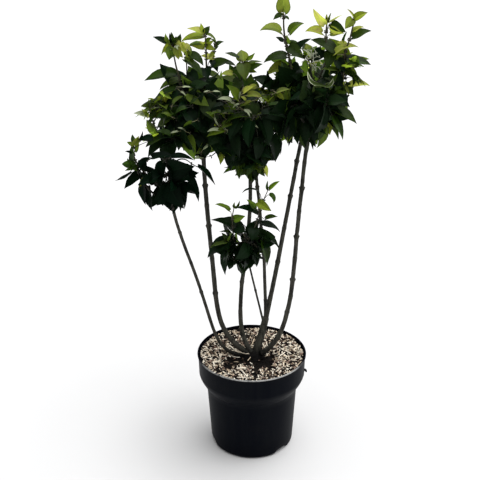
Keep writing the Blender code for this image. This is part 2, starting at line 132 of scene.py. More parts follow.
# ------------------------------------------------------------------ mesh building
class Soup:
    """Collects many small grids and joins them into one mesh."""

    def __init__(self):
        self.verts, self.faces, self.uvs, self.count = [], [], [], 0

    def grid(self, points, uv, closed=False):
        """points (rows, cols, 3) and uv (rows, cols or cols + 1 if closed, 2)."""
        r, c = points.shape[:2]
        i = np.arange(r - 1)[:, None]
        j = np.arange(c if closed else c - 1)[None, :]
        k = (j + 1) % c
        f = np.stack([i * c + j, i * c + k, (i + 1) * c + k, (i + 1) * c + j], -1).reshape(-1, 4) + self.count
        w = uv.shape[1]
        u = np.stack([i * w + j, i * w + j + 1, (i + 1) * w + j + 1, (i + 1) * w + j], -1).reshape(-1, 4)
        self.faces.append(f)
        self.uvs.append(uv.reshape(-1, 2)[u].reshape(-1, 2))
        self.verts.append(points.reshape(-1, 3))
        self.count += r * c

    def grids(self, points, uv):
        """Many open grids of one shape: points (n, rows, cols, 3), uv (n, rows, cols, 2)."""
        n, r, c = points.shape[:3]
        i = np.arange(r - 1)[:, None]
        j = np.arange(c - 1)[None, :]
        f = np.stack([i * c + j, i * c + j + 1, (i + 1) * c + j + 1, (i + 1) * c + j], -1).reshape(-1, 4)
        g = np.arange(n)[:, None, None] * (r * c)
        self.faces.append((f[None] + g).reshape(-1, 4) + self.count)
        self.uvs.append(uv.reshape(n, r * c, 2)[:, f].reshape(-1, 2))
        self.verts.append(points.reshape(-1, 3))
        self.count += n * r * c

    def tube(self, points, radii, sides, tile=(0.0, 0.0, 1.0, 1.0), relief=None, tip=True, foot=True):
        """A tube along points. relief(run, angle) gives a factor on the radius."""
        points = np.asarray(points, float)
        a, b, d = frames(points)
        run = np.concatenate([[0], np.cumsum(np.linalg.norm(np.diff(points, axis=0), axis=1))])
        angle = np.arange(sides) * math.tau / sides
        rad = np.broadcast_to(np.asarray(radii, float), (len(points),))[:, None] * np.ones((1, sides))
        if relief is not None:
            rad = rad * relief(run[:, None], angle[None, :])
        ring = points[:, None] + rad[..., None] * (np.cos(angle)[None, :, None] * a[:, None] + np.sin(angle)[None, :, None] * b[:, None])
        rows = [ring]
        vs = run / max(run[-1], 1e-9)
        if tip:      # a rounded end
            r = rad[-1][:, None]
            for k, (s, h) in enumerate(((0.72, 0.55), (0.04, 0.80))):
                rows.append((points[-1] + d[-1] * rad[-1].mean() * h + s * (ring[-1] - points[-1]))[None])
            vs = np.concatenate([vs, [1.0, 1.0]])
        if foot:
            rows.insert(0, (points[0] + 0.04 * (ring[0] - points[0]))[None])
            vs = np.concatenate([[0.0], vs])
        ring = np.concatenate(rows)
        x0, y0, x1, y1 = tile
        u = x0 + (x1 - x0) * np.linspace(0, 1, sides + 1)
        v = y0 + (y1 - y0) * vs
        uv = np.stack(np.broadcast_arrays(u[None, :], v[:, None]), -1)
        self.grid(ring, uv, closed=True)

    def build(self, name, mat, slot, *stands_for, sharp=None):
        verts = np.concatenate(self.verts)
        faces = np.concatenate(self.faces)
        uvs = np.concatenate(self.uvs)
        mesh = bpy.data.meshes.new(name)
        mesh.vertices.add(len(verts))
        mesh.vertices.foreach_set("co", verts.astype(np.float32).ravel())
        mesh.loops.add(faces.size)
        mesh.loops.foreach_set("vertex_index", faces.astype(np.int32).ravel())
        mesh.polygons.add(len(faces))
        mesh.polygons.foreach_set("loop_start", np.arange(0, faces.size, 4, dtype=np.int32))
        mesh.polygons.foreach_set("loop_total", np.full(len(faces), 4, np.int32))
        layer = mesh.uv_layers.new(name="OFBake")
        layer.data.foreach_set("uv", uvs.astype(np.float32).ravel())
        mesh.update(calc_edges=True)
        mesh.validate()
        return finish_piece(mesh, name, mat, slot, *stands_for, sharp=sharp)


def finish_piece(mesh, name, mat, slot, *stands_for, sharp=None):
    mesh.materials.clear()
    mesh.materials.append(mat)
    mesh.shade_smooth()
    if sharp is not None:
        mesh.set_sharp_from_angle(angle=math.radians(sharp))
    ob = bpy.data.objects.new(name, mesh)
    bpy.context.scene.collection.objects.link(ob)
    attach(ob, "root")
    if stands_for:
        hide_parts(*stands_for)
    return ob


def waves(seed, count, low, high):
    """A smooth uneven function of a point, from about -1 to 1, made of slow waves."""
    rng = np.random.RandomState(seed)
    k = rng.normal(size=(count, 3))
    k *= (rng.uniform(low, high, count) / np.linalg.norm(k, axis=1))[:, None]
    ph = rng.uniform(0, math.tau, count)
    amp = rng.uniform(0.5, 1.0, count)
    amp /= math.sqrt((amp ** 2).sum() / 2) * 1.4

    def f(p):
        return (np.sin(np.asarray(p) @ k.T + ph) * amp).sum(-1)
    return f


# ------------------------------------------------------------------ materials
class Nodes:
    """A material's node tree, with short ways to add nodes and link them."""

    def __init__(self, name):
        self.mat = bpy.data.materials.new(name)
        self.mat.use_nodes = True
        self.tree = self.mat.node_tree
        self.tree.nodes.clear()
        self.out = self.tree.nodes.new("ShaderNodeOutputMaterial")

    def add(self, kind, inputs=None, **props):
        node = self.tree.nodes.new("ShaderNode" + kind)
        for key, value in props.items():
            setattr(node, key, value)
        for key, value in (inputs or {}).items():
            self.put(node.inputs[key], value)
        return node

    def put(self, socket, value):
        if isinstance(value, bpy.types.NodeSocket):
            self.tree.links.new(value, socket)
        elif isinstance(value, tuple) and len(value) == 3 and socket.type == "RGBA":
            socket.default_value = (*value, 1.0)
        else:
            socket.default_value = value

    def math(self, op, a, b=0.0, c=0.0, clamp=False):
        n = self.add("Math", {0: a, 1: b, 2: c}, operation=op)
        n.use_clamp = clamp
        return n.outputs[0]

    def mix(self, a, b, factor):
        n = self.add("Mix", data_type="RGBA")
        self.put(n.inputs[0], factor)
        self.put(n.inputs[6], a)
        self.put(n.inputs[7], b)
        return n.outputs[2]

    def ramp(self, value, low, high):
        return self.add("MapRange", {0: value, 1: low, 2: high, 3: 0.0, 4: 1.0}, interpolation_type="SMOOTHSTEP").outputs[0]

    def noise(self, where, scale, detail=3.0, rough=0.55):
        return self.add("TexNoise", {"Vector": where, "Scale": scale, "Detail": detail, "Roughness": rough}).outputs[0]

    def place(self, scale=(1.0, 1.0, 1.0)):
        co = self.add("TexCoord").outputs["Object"]
        if scale == (1.0, 1.0, 1.0):
            return co
        return self.add("Mapping", {"Vector": co, "Scale": scale}).outputs[0]

    def bump(self, height, strength, distance):
        return self.add("Bump", {"Height": height, "Strength": strength, "Distance": distance}).outputs[0]

    def principled(self, **inputs):
        names = {k.replace("_", " "): v for k, v in inputs.items()}
        return self.add("BsdfPrincipled", names)

    def surface(self, shader):
        self.tree.links.new(shader.outputs[0], self.out.inputs[0])
        return self.mat


def leaf_material(name, base, through, share, rough, gloss, vary, vein, bronze):
    """A blade: one of 16 shades to a leaf, with painted light on a few and painted shade on the rest, side veins, a
    pale midrib, light passing through.
    """
    m = Nodes(name)
    uv = m.add("UVMap", uv_map="OFBake").outputs[0]
    four = m.add("VectorMath", {0: uv, 1: (4.0, 4.0, 4.0)}, operation="MULTIPLY").outputs[0]
    tile = m.add("VectorMath", {0: four}, operation="FLOOR").outputs[0]
    part = m.add("VectorMath", {0: four}, operation="FRACTION").outputs[0]
    xyz = m.add("SeparateXYZ", {0: part})
    x, y = xyz.outputs[0], xyz.outputs[1]
    luck = m.add("TexWhiteNoise", {"Vector": tile}, noise_dimensions="3D")
    cell = m.add("SeparateXYZ", {0: tile})
    rank = m.math("DIVIDE", m.math("ADD", m.math("MULTIPLY", cell.outputs[0], 4.0), cell.outputs[1]), 15.0)
    side = m.math("ABSOLUTE", m.math("SUBTRACT", x, 0.5))
    # side veins leave the midrib forwards and arch towards the tip
    run = m.math("SUBTRACT", m.math("MULTIPLY", y, 7.0), m.math("MULTIPLY", m.math("POWER", side, 0.8), 4.4))
    wob = m.noise(four, 3.0, 2.0)
    run = m.math("ADD", run, m.math("MULTIPLY", wob, 0.35))
    tri = m.math("ABSOLUTE", m.math("SUBTRACT", m.math("FRACT", run), 0.5))
    veins = m.math("SUBTRACT", 1.0, m.ramp(tri, 0.0, 0.075))
    rib = m.math("SUBTRACT", 1.0, m.ramp(side, 0.010, 0.040))
    lines = m.math("MAXIMUM", m.math("MULTIPLY", veins, 0.55), rib)
    blotch = m.noise(four, 5.0, 4.0, 0.6)
    # painted light and shade: most leaves are painted a little dark, and a few painted bright as if they catch the
    # light
    few = m.math("SUBTRACT", m.math("MULTIPLY", m.math("POWER", rank, 5.0), 5.5 * vary), 0.32 * vary)
    shade = m.math("ADD", few, m.math("MULTIPLY", m.math("SUBTRACT", blotch, 0.5), 0.55))
    hue = m.add("SeparateColor", {0: luck.outputs[1]})
    # painted light: one half of the blade is painted lighter than the other, as the two halves of the fold would face
    # the light differently, and the margin is darker
    half = m.math("MULTIPLY", m.math("SUBTRACT", m.ramp(x, 0.47, 0.53), 0.5), m.math("SUBTRACT", hue.outputs[2], 0.5))
    margin = m.ramp(side, 0.30, 0.50)
    shade = m.math("ADD", shade, m.math("SUBTRACT", m.math("MULTIPLY", half, 1.1), m.math("MULTIPLY", margin, 0.22)))
    # the foot and the point of a blade are darker
    ends = m.math("MAXIMUM", m.ramp(y, 0.80, 0.99), m.math("SUBTRACT", 1.0, m.ramp(y, 0.02, 0.20)))
    shade = m.math("SUBTRACT", shade, m.math("MULTIPLY", ends, 0.34))
    # painted light: the leaves painted bright are also painted yellower, as if sunlit, and young blades go bronze in
    # patches
    warm = m.mix(base, (base[1] * 0.70, base[1], base[2] * 1.1), m.ramp(few, 0.15, 1.4))
    patch = m.math("MULTIPLY", m.ramp(m.noise(four, 1.7, 2.0), 0.46, 0.66), bronze)
    warm = m.mix(warm, (base[1] * 0.86, base[1] * 0.76, base[2] * 1.7), patch)
    gone_through = m.mix(through, (through[1] * 0.86, through[1] * 0.74, through[2] * 1.8), patch)
    hs = m.add("HueSaturation", {"Hue": m.math("ADD", 0.5, m.math("MULTIPLY", m.math("SUBTRACT", hue.outputs[0], 0.5), 0.020)),
                                 "Saturation": m.math("ADD", 0.92, m.math("MULTIPLY", hue.outputs[1], 0.16)),
                                 "Value": m.math("ADD", 1.0, shade), "Color": m.mix(warm, vein, m.math("MULTIPLY", lines, 0.42))})
    ts = m.add("HueSaturation", {"Hue": m.math("ADD", 0.5, m.math("MULTIPLY", m.math("SUBTRACT", hue.outputs[0], 0.5), 0.018)),
                                 "Saturation": 1.0, "Value": m.math("ADD", 1.0, shade),
                                 "Color": m.mix(gone_through, tuple(c * 0.55 for c in through), m.math("MULTIPLY", lines, 0.6))})
    relief = m.math("SUBTRACT", m.math("MULTIPLY", blotch, 0.35), lines)
    normal = m.bump(relief, 0.35, 0.0006)
    front = m.principled(Base_Color=hs.outputs[0], Roughness=m.math("ADD", rough, m.math("MULTIPLY", blotch, 0.14)), Normal=normal)
    front.inputs["Specular IOR Level"].default_value = gloss
    back = m.add("BsdfTranslucent", {"Color": ts.outputs[0], "Normal": normal})
    both = m.add("MixShader", {0: share})
    m.tree.links.new(front.outputs[0], both.inputs[1])
    m.tree.links.new(back.outputs[0], both.inputs[2])
    return m.surface(both)


def bark_material(name, dark, light, fine, moss, rough):
    """Grey-brown bark: streaks along the limb, pale lenticels, darker cracks."""
    m = Nodes(name)
    along = m.place((1.0, 1.0, 0.16))
    streak = m.noise(along, fine, 5.0, 0.62)
    patch = m.noise(m.place(), 38.0, 3.0)
    spots = m.add("TexVoronoi", {"Vector": m.place((1.0, 1.0, 0.55)), "Scale": 330.0, "Randomness": 1.0}, feature="F1").outputs["Distance"]
    lenticel = m.math("SUBTRACT", 1.0, m.ramp(spots, 0.10, 0.24))
    crack = m.math("SUBTRACT", 1.0, m.ramp(streak, 0.36, 0.47))
    colour = m.mix(dark, light, m.ramp(streak, 0.38, 0.66))
    colour = m.mix(colour, moss, m.math("MULTIPLY", m.ramp(patch, 0.50, 0.70), 0.55))
    colour = m.mix(colour, tuple(min(1.0, c * 2.1) for c in light), m.math("MULTIPLY", lenticel, 0.45))
    colour = m.mix(colour, tuple(c * 0.4 for c in dark), m.math("MULTIPLY", crack, 0.7))
    # the bark is darker towards the soil line
    darker_near_soil = m.math("SUBTRACT", 1.0, m.ramp(m.add("SeparateXYZ", {0: m.place()}).outputs[2], 0.236, 0.268))
    colour = m.mix(colour, tuple(c * 0.22 for c in dark), m.math("MULTIPLY", darker_near_soil, 0.85))
    height = m.math("ADD", m.math("MULTIPLY", streak, 0.7), m.math("MULTIPLY", lenticel, 0.25))
    shader = m.principled(Base_Color=colour, Roughness=m.math("ADD", rough, m.math("MULTIPLY", patch, 0.16)), Normal=m.bump(height, 0.55, 0.0012))
    shader.inputs["Specular IOR Level"].default_value = 0.22
    return m.surface(shader)


def stalk_material(name, foot, tip):
    """Young shoots and leaf stalks: green-brown, mottled, with fine streaks along them."""
    m = Nodes(name)
    uv = m.add("UVMap", uv_map="OFBake").outputs[0]
    a = m.noise(uv, 26.0, 2.0)
    b = m.noise(m.add("Mapping", {"Vector": uv, "Scale": (60.0, 14.0, 1.0)}).outputs[0], 4.0, 3.0)
    colour = m.mix(foot, tip, m.ramp(a, 0.38, 0.62))
    colour = m.mix(colour, tuple(c * 0.6 for c in foot), m.math("MULTIPLY", m.ramp(b, 0.5, 0.7), 0.5))
    shader = m.principled(Base_Color=colour, Roughness=0.55, Normal=m.bump(b, 0.3, 0.0004))
    shader.inputs["Specular IOR Level"].default_value = 0.25
    return m.surface(shader)


def pot_material(name="pot_black_plastic", specular=0.035, lip=False):
    """Blow-moulded black polypropylene: satin, faint flow lines, dust and fine scuffs."""
    m = Nodes(name)
    where = m.place()
    flow = m.noise(m.place((1.0, 1.0, 0.06)), 55.0, 3.0)
    hoop = m.noise(m.place((0.05, 0.05, 1.0)), 420.0, 2.0)
    cloud = m.noise(where, 9.0, 4.0, 0.6)
    grain = m.noise(where, 1500.0, 2.0)
    scuff = m.ramp(m.noise(m.place((1.0, 1.0, 3.0)), 120.0, 5.0, 0.75), 0.63, 0.74)
    height = m.add("SeparateXYZ", {0: where}).outputs[2]
    # painted shade: towards the foot the pot is painted darker and bluer, and the dust thins out there
    low = m.math("SUBTRACT", 1.0, m.ramp(height, 0.004, 0.060))
    dust = m.math("MULTIPLY", m.ramp(cloud, 0.45, 0.75), m.math("SUBTRACT", 0.22, m.math("MULTIPLY", low, 0.20)))
    colour = m.mix((0.0010, 0.0018, 0.0042), (0.0022, 0.0031, 0.0052), m.ramp(flow, 0.35, 0.7))
    colour = m.mix(colour, (0.0006, 0.0010, 0.0030), m.math("MULTIPLY", low, 0.6))
    colour = m.mix(colour, (0.026, 0.025, 0.021), m.math("MULTIPLY", dust, 0.30))
    colour = m.mix(colour, (0.030, 0.031, 0.032), m.math("MULTIPLY", scuff, 0.10))
    if lip:      # painted highlight: the front of the lip is painted pale, where it catches the light
        front = m.math("SUBTRACT", 1.0, m.ramp(m.add("SeparateXYZ", {0: where}).outputs[1], -0.105, -0.035))
        painted_lip_highlight = m.math("MULTIPLY", m.math("MULTIPLY", m.ramp(height, 0.2384, 0.2391), front), m.ramp(m.noise(where, 60.0, 4.0, 0.7), 0.26, 0.56))
        colour = m.mix(colour, (0.40, 0.40, 0.39), m.math("MULTIPLY", painted_lip_highlight, 0.85))
    rough = m.math("ADD", m.math("ADD", 0.40, m.math("MULTIPLY", cloud, 0.12)), m.math("MULTIPLY", scuff, 0.10))
    relief = m.math("ADD", m.math("MULTIPLY", grain, 0.25), m.math("ADD", m.math("MULTIPLY", flow, 0.5), m.math("MULTIPLY", hoop, 0.35)))
    shader = m.principled(Base_Color=colour, Roughness=rough, Normal=m.bump(relief, 0.16, 0.0010))
    shader.inputs["Specular IOR Level"].default_value = specular
    return m.surface(shader)


def compost_material():
    m = Nodes("compost_peat")
    where = m.place()
    crumbs = m.add("TexVoronoi", {"Vector": where, "Scale": 420.0}, feature="F1").outputs["Distance"]
    fibre = m.noise(where, 260.0, 5.0, 0.7)
    cloud = m.noise(where, 30.0, 3.0)
    colour = m.mix((0.0018, 0.0014, 0.0012), (0.0080, 0.0060, 0.0046), m.ramp(fibre, 0.42, 0.68))
    colour = m.mix(colour, (0.016, 0.012, 0.0085), m.math("MULTIPLY", m.ramp(cloud, 0.5, 0.7), 0.35))
    height = m.math("ADD", m.math("MULTIPLY", fibre, 0.8), m.math("SUBTRACT", 0.6, crumbs))
    shader = m.principled(Base_Color=colour, Roughness=0.92, Normal=m.bump(height, 0.9, 0.0022))
    shader.inputs["Specular IOR Level"].default_value = 0.12
    return m.surface(shader)


def chip_material(name, base, other, dark):
    """Shredded bark and wood: grain along the chip, stains between chips."""
    m = Nodes(name)
    uv = m.add("UVMap", uv_map="OFBake").outputs[0]
    four = m.add("VectorMath", {0: uv, 1: (4.0, 4.0, 4.0)}, operation="MULTIPLY").outputs[0]
    tile = m.add("VectorMath", {0: four}, operation="FLOOR").outputs[0]
    luck = m.add("TexWhiteNoise", {"Vector": tile}, noise_dimensions="3D")
    grain = m.noise(m.add("Mapping", {"Vector": four, "Scale": (22.0, 2.2, 1.0)}).outputs[0], 1.0, 4.0, 0.6)
    stain = m.noise(four, 2.6, 4.0, 0.6)
    colour = m.mix(base, other, luck.outputs[0])
    colour = m.mix(colour, dark, m.math("MULTIPLY", m.ramp(grain, 0.48, 0.72), 0.55))
    colour = m.mix(colour, dark, m.math("MULTIPLY", m.ramp(stain, 0.55, 0.75), 0.5))
    shader = m.principled(Base_Color=colour, Roughness=0.88, Normal=m.bump(grain, 0.6, 0.0008))
    shader.inputs["Specular IOR Level"].default_value = 0.15
    return m.surface(shader)


def dry_material(name, inner, edge, scale, ends=0.0):
    """A dead leaf or stalk: olive in the roll, pale along its edges, partly bleached and partly a painted highlight
    where a rolled rim catches the light, no image.
    """
    m = Nodes(name)
    uv = m.add("UVMap", uv_map="OFBake").outputs[0]
    xyz = m.add("SeparateXYZ", {0: uv})
    side = m.math("MULTIPLY", m.math("ABSOLUTE", m.math("SUBTRACT", xyz.outputs[0], 0.5)), 2.0)
    spots = m.noise(m.add("Mapping", {"Vector": uv, "Scale": (3.0, 9.0, 1.0)}).outputs[0], scale, 4.0, 0.65)
    far = m.math("MULTIPLY", m.math("SUBTRACT", m.math("ABSOLUTE", m.math("SUBTRACT", xyz.outputs[1], 0.54)), 0.26), ends)
    pale = m.ramp(m.math("ADD", m.math("ADD", side, far), m.math("MULTIPLY", m.math("SUBTRACT", spots, 0.5), 1.3)), 0.45, 0.90)
    colour = m.mix(inner, edge, pale)
    shader = m.principled(Base_Color=colour, Roughness=0.6, Normal=m.bump(spots, 0.4, 0.0006))
    shader.inputs["Specular IOR Level"].default_value = 0.2
    return m.surface(shader)


# ------------------------------------------------------------------ pot
POT_RIM_R, POT_HEIGHT = 0.1300, 0.2410
COLLAR_R, COLLAR_FOOT, COLLAR_FOOT_R = 0.1278, 0.1880, 0.1264
SHOULDER_R, SHOULDER_Z, BASE_R = 0.1085, 0.1555, 0.0998
WALL, FLOOR = 0.0022, 0.0030
SOIL_Z = 0.2275


def rounded(points, radius, count=4):
    """A profile with each inner corner rounded off."""
    out = [points[0]]
    for a, b, c in zip(points, points[1:], points[2:]):
        a, b, c = map(np.array, (a, b, c))
        u, v = unit(np.append(a - b, 0))[:2], unit(np.append(c - b, 0))[:2]
        r = min(radius, 0.45 * np.linalg.norm(a - b), 0.45 * np.linalg.norm(c - b))
        p, q = b + u * r, b + v * r
        for k in range(count + 1):
            t = k / count
            out.append(tuple((1 - t) ** 2 * p + 2 * t * (1 - t) * b + t * t * q))
    out.append(points[-1])
    return out


NOTCHES, NOTCH_HALF, NOTCH_HIGH = (-43.0, -165.0, 76.0), 13.0, 0.0060     # degrees round the foot, half width, height


def pot_profile():
    step = [(COLLAR_FOOT_R + (SHOULDER_R - COLLAR_FOOT_R) * t ** 1.35, COLLAR_FOOT + (SHOULDER_Z - COLLAR_FOOT) * t)
            for t in np.linspace(0, 1, 9)]
    outside = [(COLLAR_R - WALL + 0.0012, POT_HEIGHT - 0.0004), (COLLAR_R + 0.0002, POT_HEIGHT), (POT_RIM_R - 0.0004, POT_HEIGHT - 0.0002),
               (POT_RIM_R, POT_HEIGHT - 0.0018), (POT_RIM_R - 0.0002, POT_HEIGHT - 0.0034), (COLLAR_R + 0.0004, POT_HEIGHT - 0.0042),
               (COLLAR_R, POT_HEIGHT - 0.0075), (COLLAR_FOOT_R + 0.0003, COLLAR_FOOT + 0.0050), (COLLAR_FOOT_R + 0.0003, COLLAR_FOOT + 0.0012)]
    body = [(SHOULDER_R + (BASE_R - SHOULDER_R) * t, SHOULDER_Z + (0.0100 - SHOULDER_Z) * t) for t in np.linspace(0, 1, 7)]
    outside += step + body[1:] + [(BASE_R - 0.0006, 0.0062), (BASE_R - 0.0022, 0.0032), (BASE_R - 0.0046, 0.0010), (BASE_R - 0.0078, 0.0)]
    under = [(BASE_R - 0.0150, 0.0), (BASE_R - 0.0162, 0.0009), (0.0560, 0.0009), (0.0548, 0.0), (0.0300, 0.0), (0.0288, 0.0009), (0.0, 0.0009)]
    inside = [(0.0, FLOOR), (BASE_R - WALL - 0.0045, FLOOR), (BASE_R - WALL, FLOOR + 0.0070), (SHOULDER_R - WALL, SHOULDER_Z + 0.0010)]
    inside += [(r - WALL * 0.9, z + WALL * 0.6) for r, z in reversed(step[1:-1])]
    inside += [(COLLAR_FOOT_R - WALL, COLLAR_FOOT), (COLLAR_R - WALL + 0.0004, POT_HEIGHT - 0.0040), outside[0]]
    return outside + under, inside


def lathe(profile, segments):
    """Grid points of a profile turned round Z."""
    p = np.array(profile)
    a = np.arange(segments) * math.tau / segments
    return np.stack([p[:, :1] * np.cos(a), p[:, :1] * np.sin(a), np.broadcast_to(p[:, 1:], (len(p), segments))], -1)


def make_pot(mat, lip_mat):
    outer, inner = pot_profile()
    profile = rounded(outer[:9], 0.0007, 2) + outer[9:] + inner
    keep = [profile[0]]
    for q in profile[1:]:
        if math.dist(q, keep[-1]) > 1e-5:
            keep.append(q)
    # finer rows where the profile runs far, so that the wall can be very slightly out of round
    rows = [keep[0]]
    for a, b in zip(keep, keep[1:]):
        n = max(1, int(math.dist(a, b) / 0.012))
        rows += [(a[0] + (b[0] - a[0]) * k / n, a[1] + (b[1] - a[1]) * k / n) for k in range(1, n + 1)]
    seg = 144
    pts = lathe(rows, seg)
    length = np.concatenate([[0], np.cumsum([math.dist(a, b) for a, b in zip(rows, rows[1:])])])
    uv = np.stack(np.broadcast_arrays(np.linspace(0, 1, seg + 1)[None], (length / length[-1])[:, None]), -1)
    soup = Soup()
    soup.grid(pts, uv, closed=True)
    pot = soup.build("pot_shell", mat, "pot_plastic", "pot", "pot_collar")
    # weld the poles and the seam, then drill the drain holes
    bm = bmesh.new()
    bm.from_mesh(pot.data)
    bmesh.ops.remove_doubles(bm, verts=bm.verts, dist=5e-6)
    bmesh.ops.dissolve_degenerate(bm, edges=bm.edges, dist=1e-6)
    bmesh.ops.recalc_face_normals(bm, faces=bm.faces)
    bm.to_mesh(pot.data)
    bm.free()
    drill = bmesh.new()
    for i in range(8):
        a = math.tau * (i + 0.5) / 8
        made = bmesh.ops.create_cone(drill, cap_ends=True, segments=24, radius1=0.0060, radius2=0.0060, depth=0.02)
        bmesh.ops.translate(drill, verts=made["verts"], vec=(0.072 * math.cos(a), 0.072 * math.sin(a), 0.0))
    mesh = bpy.data.meshes.new("drain_drill")
    drill.to_mesh(mesh)
    drill.free()
    tool = bpy.data.objects.new("drain_drill", mesh)
    bpy.context.scene.collection.objects.link(tool)
    cut = pot.modifiers.new("drain", "BOOLEAN")
    cut.operation, cut.solver, cut.object = "DIFFERENCE", "EXACT", tool
    bpy.context.view_layer.update()
    done = bpy.data.meshes.new_from_object(pot.evaluated_get(bpy.context.evaluated_depsgraph_get()))
    pot.modifiers.remove(cut)
    pot.data = done
    bpy.data.objects.remove(tool)
    # a real pot is not quite round, its foot has three arched drain notches, and its base sits a little off the rim's centre
    v = np.zeros(len(done.vertices) * 3)
    done.vertices.foreach_get("co", v)
    v = v.reshape(-1, 3)
    ang, radius, z = np.arctan2(v[:, 1], v[:, 0]), np.hypot(v[:, 0], v[:, 1]), v[:, 2].copy()
    v[:, :2] *= (1 + np.clip(z / POT_HEIGHT, 0, 1) * (0.0016 * np.sin(2 * ang + 0.7) + 0.0009 * np.sin(3 * ang + 2.0)))[:, None]
    for middle in NOTCHES:
        off = np.abs(np.angle(np.exp(1j * (ang - math.radians(middle)))))
        arch = np.clip(1.0 - (off / math.radians(NOTCH_HALF)) ** 2, 0, 1) ** 0.5
        near = np.clip((radius - 0.080) / 0.004, 0, 1) * np.clip((0.030 - z) / 0.026, 0, 1)
        v[:, 2] += NOTCH_HIGH * arch * near
        v[:, :2] *= (1 - 0.030 * arch * near * np.clip((0.010 - z) / 0.010, 0, 1))[:, None]
    v[:, 0] += 0.0018 * np.clip(1 - z / POT_HEIGHT, 0, 1)
    done.vertices.foreach_set("co", v.ravel())
    done.update()
    done.materials.clear()
    done.materials.append(mat)
    done.shade_smooth()
    done.set_sharp_from_angle(angle=math.radians(40))
    # the lip is its own piece
    lip = bpy.data.objects.new("pot_lip", done.copy())
    bpy.context.scene.collection.objects.link(lip)
    for ob, keep_lip in ((pot, False), (lip, True)):
        bm = bmesh.new()
        bm.from_mesh(ob.data)
        other = [f for f in bm.faces if (min(q.co.z for q in f.verts) > POT_HEIGHT - 0.0044) != keep_lip]
        bmesh.ops.delete(bm, geom=other, context="FACES")
        bm.to_mesh(ob.data)
        bm.free()
    lip.data.materials.clear()
    lip.data.materials.append(lip_mat)
    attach(lip, "root")
    # the small moulded hook low on the collar
    soup = Soup()
    a = math.radians(-5.0)
    out = np.array([math.cos(a), math.sin(a), 0.0])
    foot = out * (COLLAR_FOOT_R - 0.0006) + np.array([0, 0, 0.1965])
    line = [foot, foot + out * 0.0032 - UP * 0.0004, foot + out * 0.0052 - UP * 0.0022, foot + out * 0.0058 - UP * 0.0048]
    soup.tube(spline(line, 4), np.linspace(0.0036, 0.0021, 13), 14)
    soup.build("pot_hook", mat, "pot_plastic")
    return pot


# ------------------------------------------------------------------ compost and mulch
# Painted shadow: patches where few chips lie and the dark compost shows, set where the shadows of stems and leaves fall
# on the mulch; seen at (u, v) with a radius in pixels.
SHADOW_PATCHES = [(257, 360, 9.5), (266, 363, 7.0), (258, 366, 5.0), (257, 372, 3.6), (255.5, 378, 3.4), (241, 360, 6.5), (248, 358, 5.5), (232, 362, 4.6),
        (228.5, 369, 4.2), (272, 358, 3.4), (225, 365, 2.6), (236, 366, 3.0), (247, 365, 3.0), (270, 370, 2.4), (219, 370.5, 2.2)]


def soil_height(x, y):
    r = np.hypot(x, y)
    z = SOIL_Z + 0.0066 * np.clip((r - 0.030) / 0.075, 0, 1) ** 0.8 - 0.0012 * np.clip((r - 0.115) / 0.010, 0, 1)
    return z


def shadow_patch_weight(x, y):
    """1 in the painted shadow patches, 0 under the mulch."""
    b = np.zeros_like(np.asarray(x, float))
    for u, v, r in SHADOW_PATCHES:
        p = on_level(u, v, SOIL_Z)
        d = np.hypot(np.asarray(x) - p[0], (np.asarray(y) - p[1]) * 0.62) / (r / 405.0)
        b = np.maximum(b, 1 - np.clip((d - 0.75) / 0.5, 0, 1))
    return b


def make_compost(mat):
    lumps, crumbs = waves(5, 12, 60.0, 190.0), waves(6, 30, 380.0, 1300.0)
    top = [(r, 0.0) for r in np.concatenate([[0.0004], np.linspace(0.003, 0.1240, 62)])]
    seg = 220
    pts = lathe(top, seg)
    x, y = pts[..., 0], pts[..., 1]
    z = soil_height(x, y)
    flat = np.stack([x, y, np.zeros_like(x)], -1)
    edge = np.clip((0.1240 - np.hypot(x, y)) / 0.01, 0, 1)
    # the compost sinks a little in the painted shadow patches
    z = z + (0.0007 * lumps(flat) + 0.0008 * crumbs(flat)) * edge - 0.0022 * shadow_patch_weight(x, y) * edge
    pts[..., 2] = z
    sides = lathe([(0.1236, 0.1915), (0.1160, 0.1700), (0.1054, SHOULDER_Z), (0.0955, 0.0112), (0.0900, FLOOR + 0.0008), (0.0004, FLOOR + 0.0008)], seg)
    pts = np.concatenate([pts, sides])
    uv = np.stack(np.broadcast_arrays(np.linspace(0, 1, seg + 1)[None], np.linspace(0, 1, len(pts))[:, None]), -1)
    soup = Soup()
    soup.grid(pts, uv, closed=True)
    return soup.build("compost_surface", mat, "mulch", "compost")


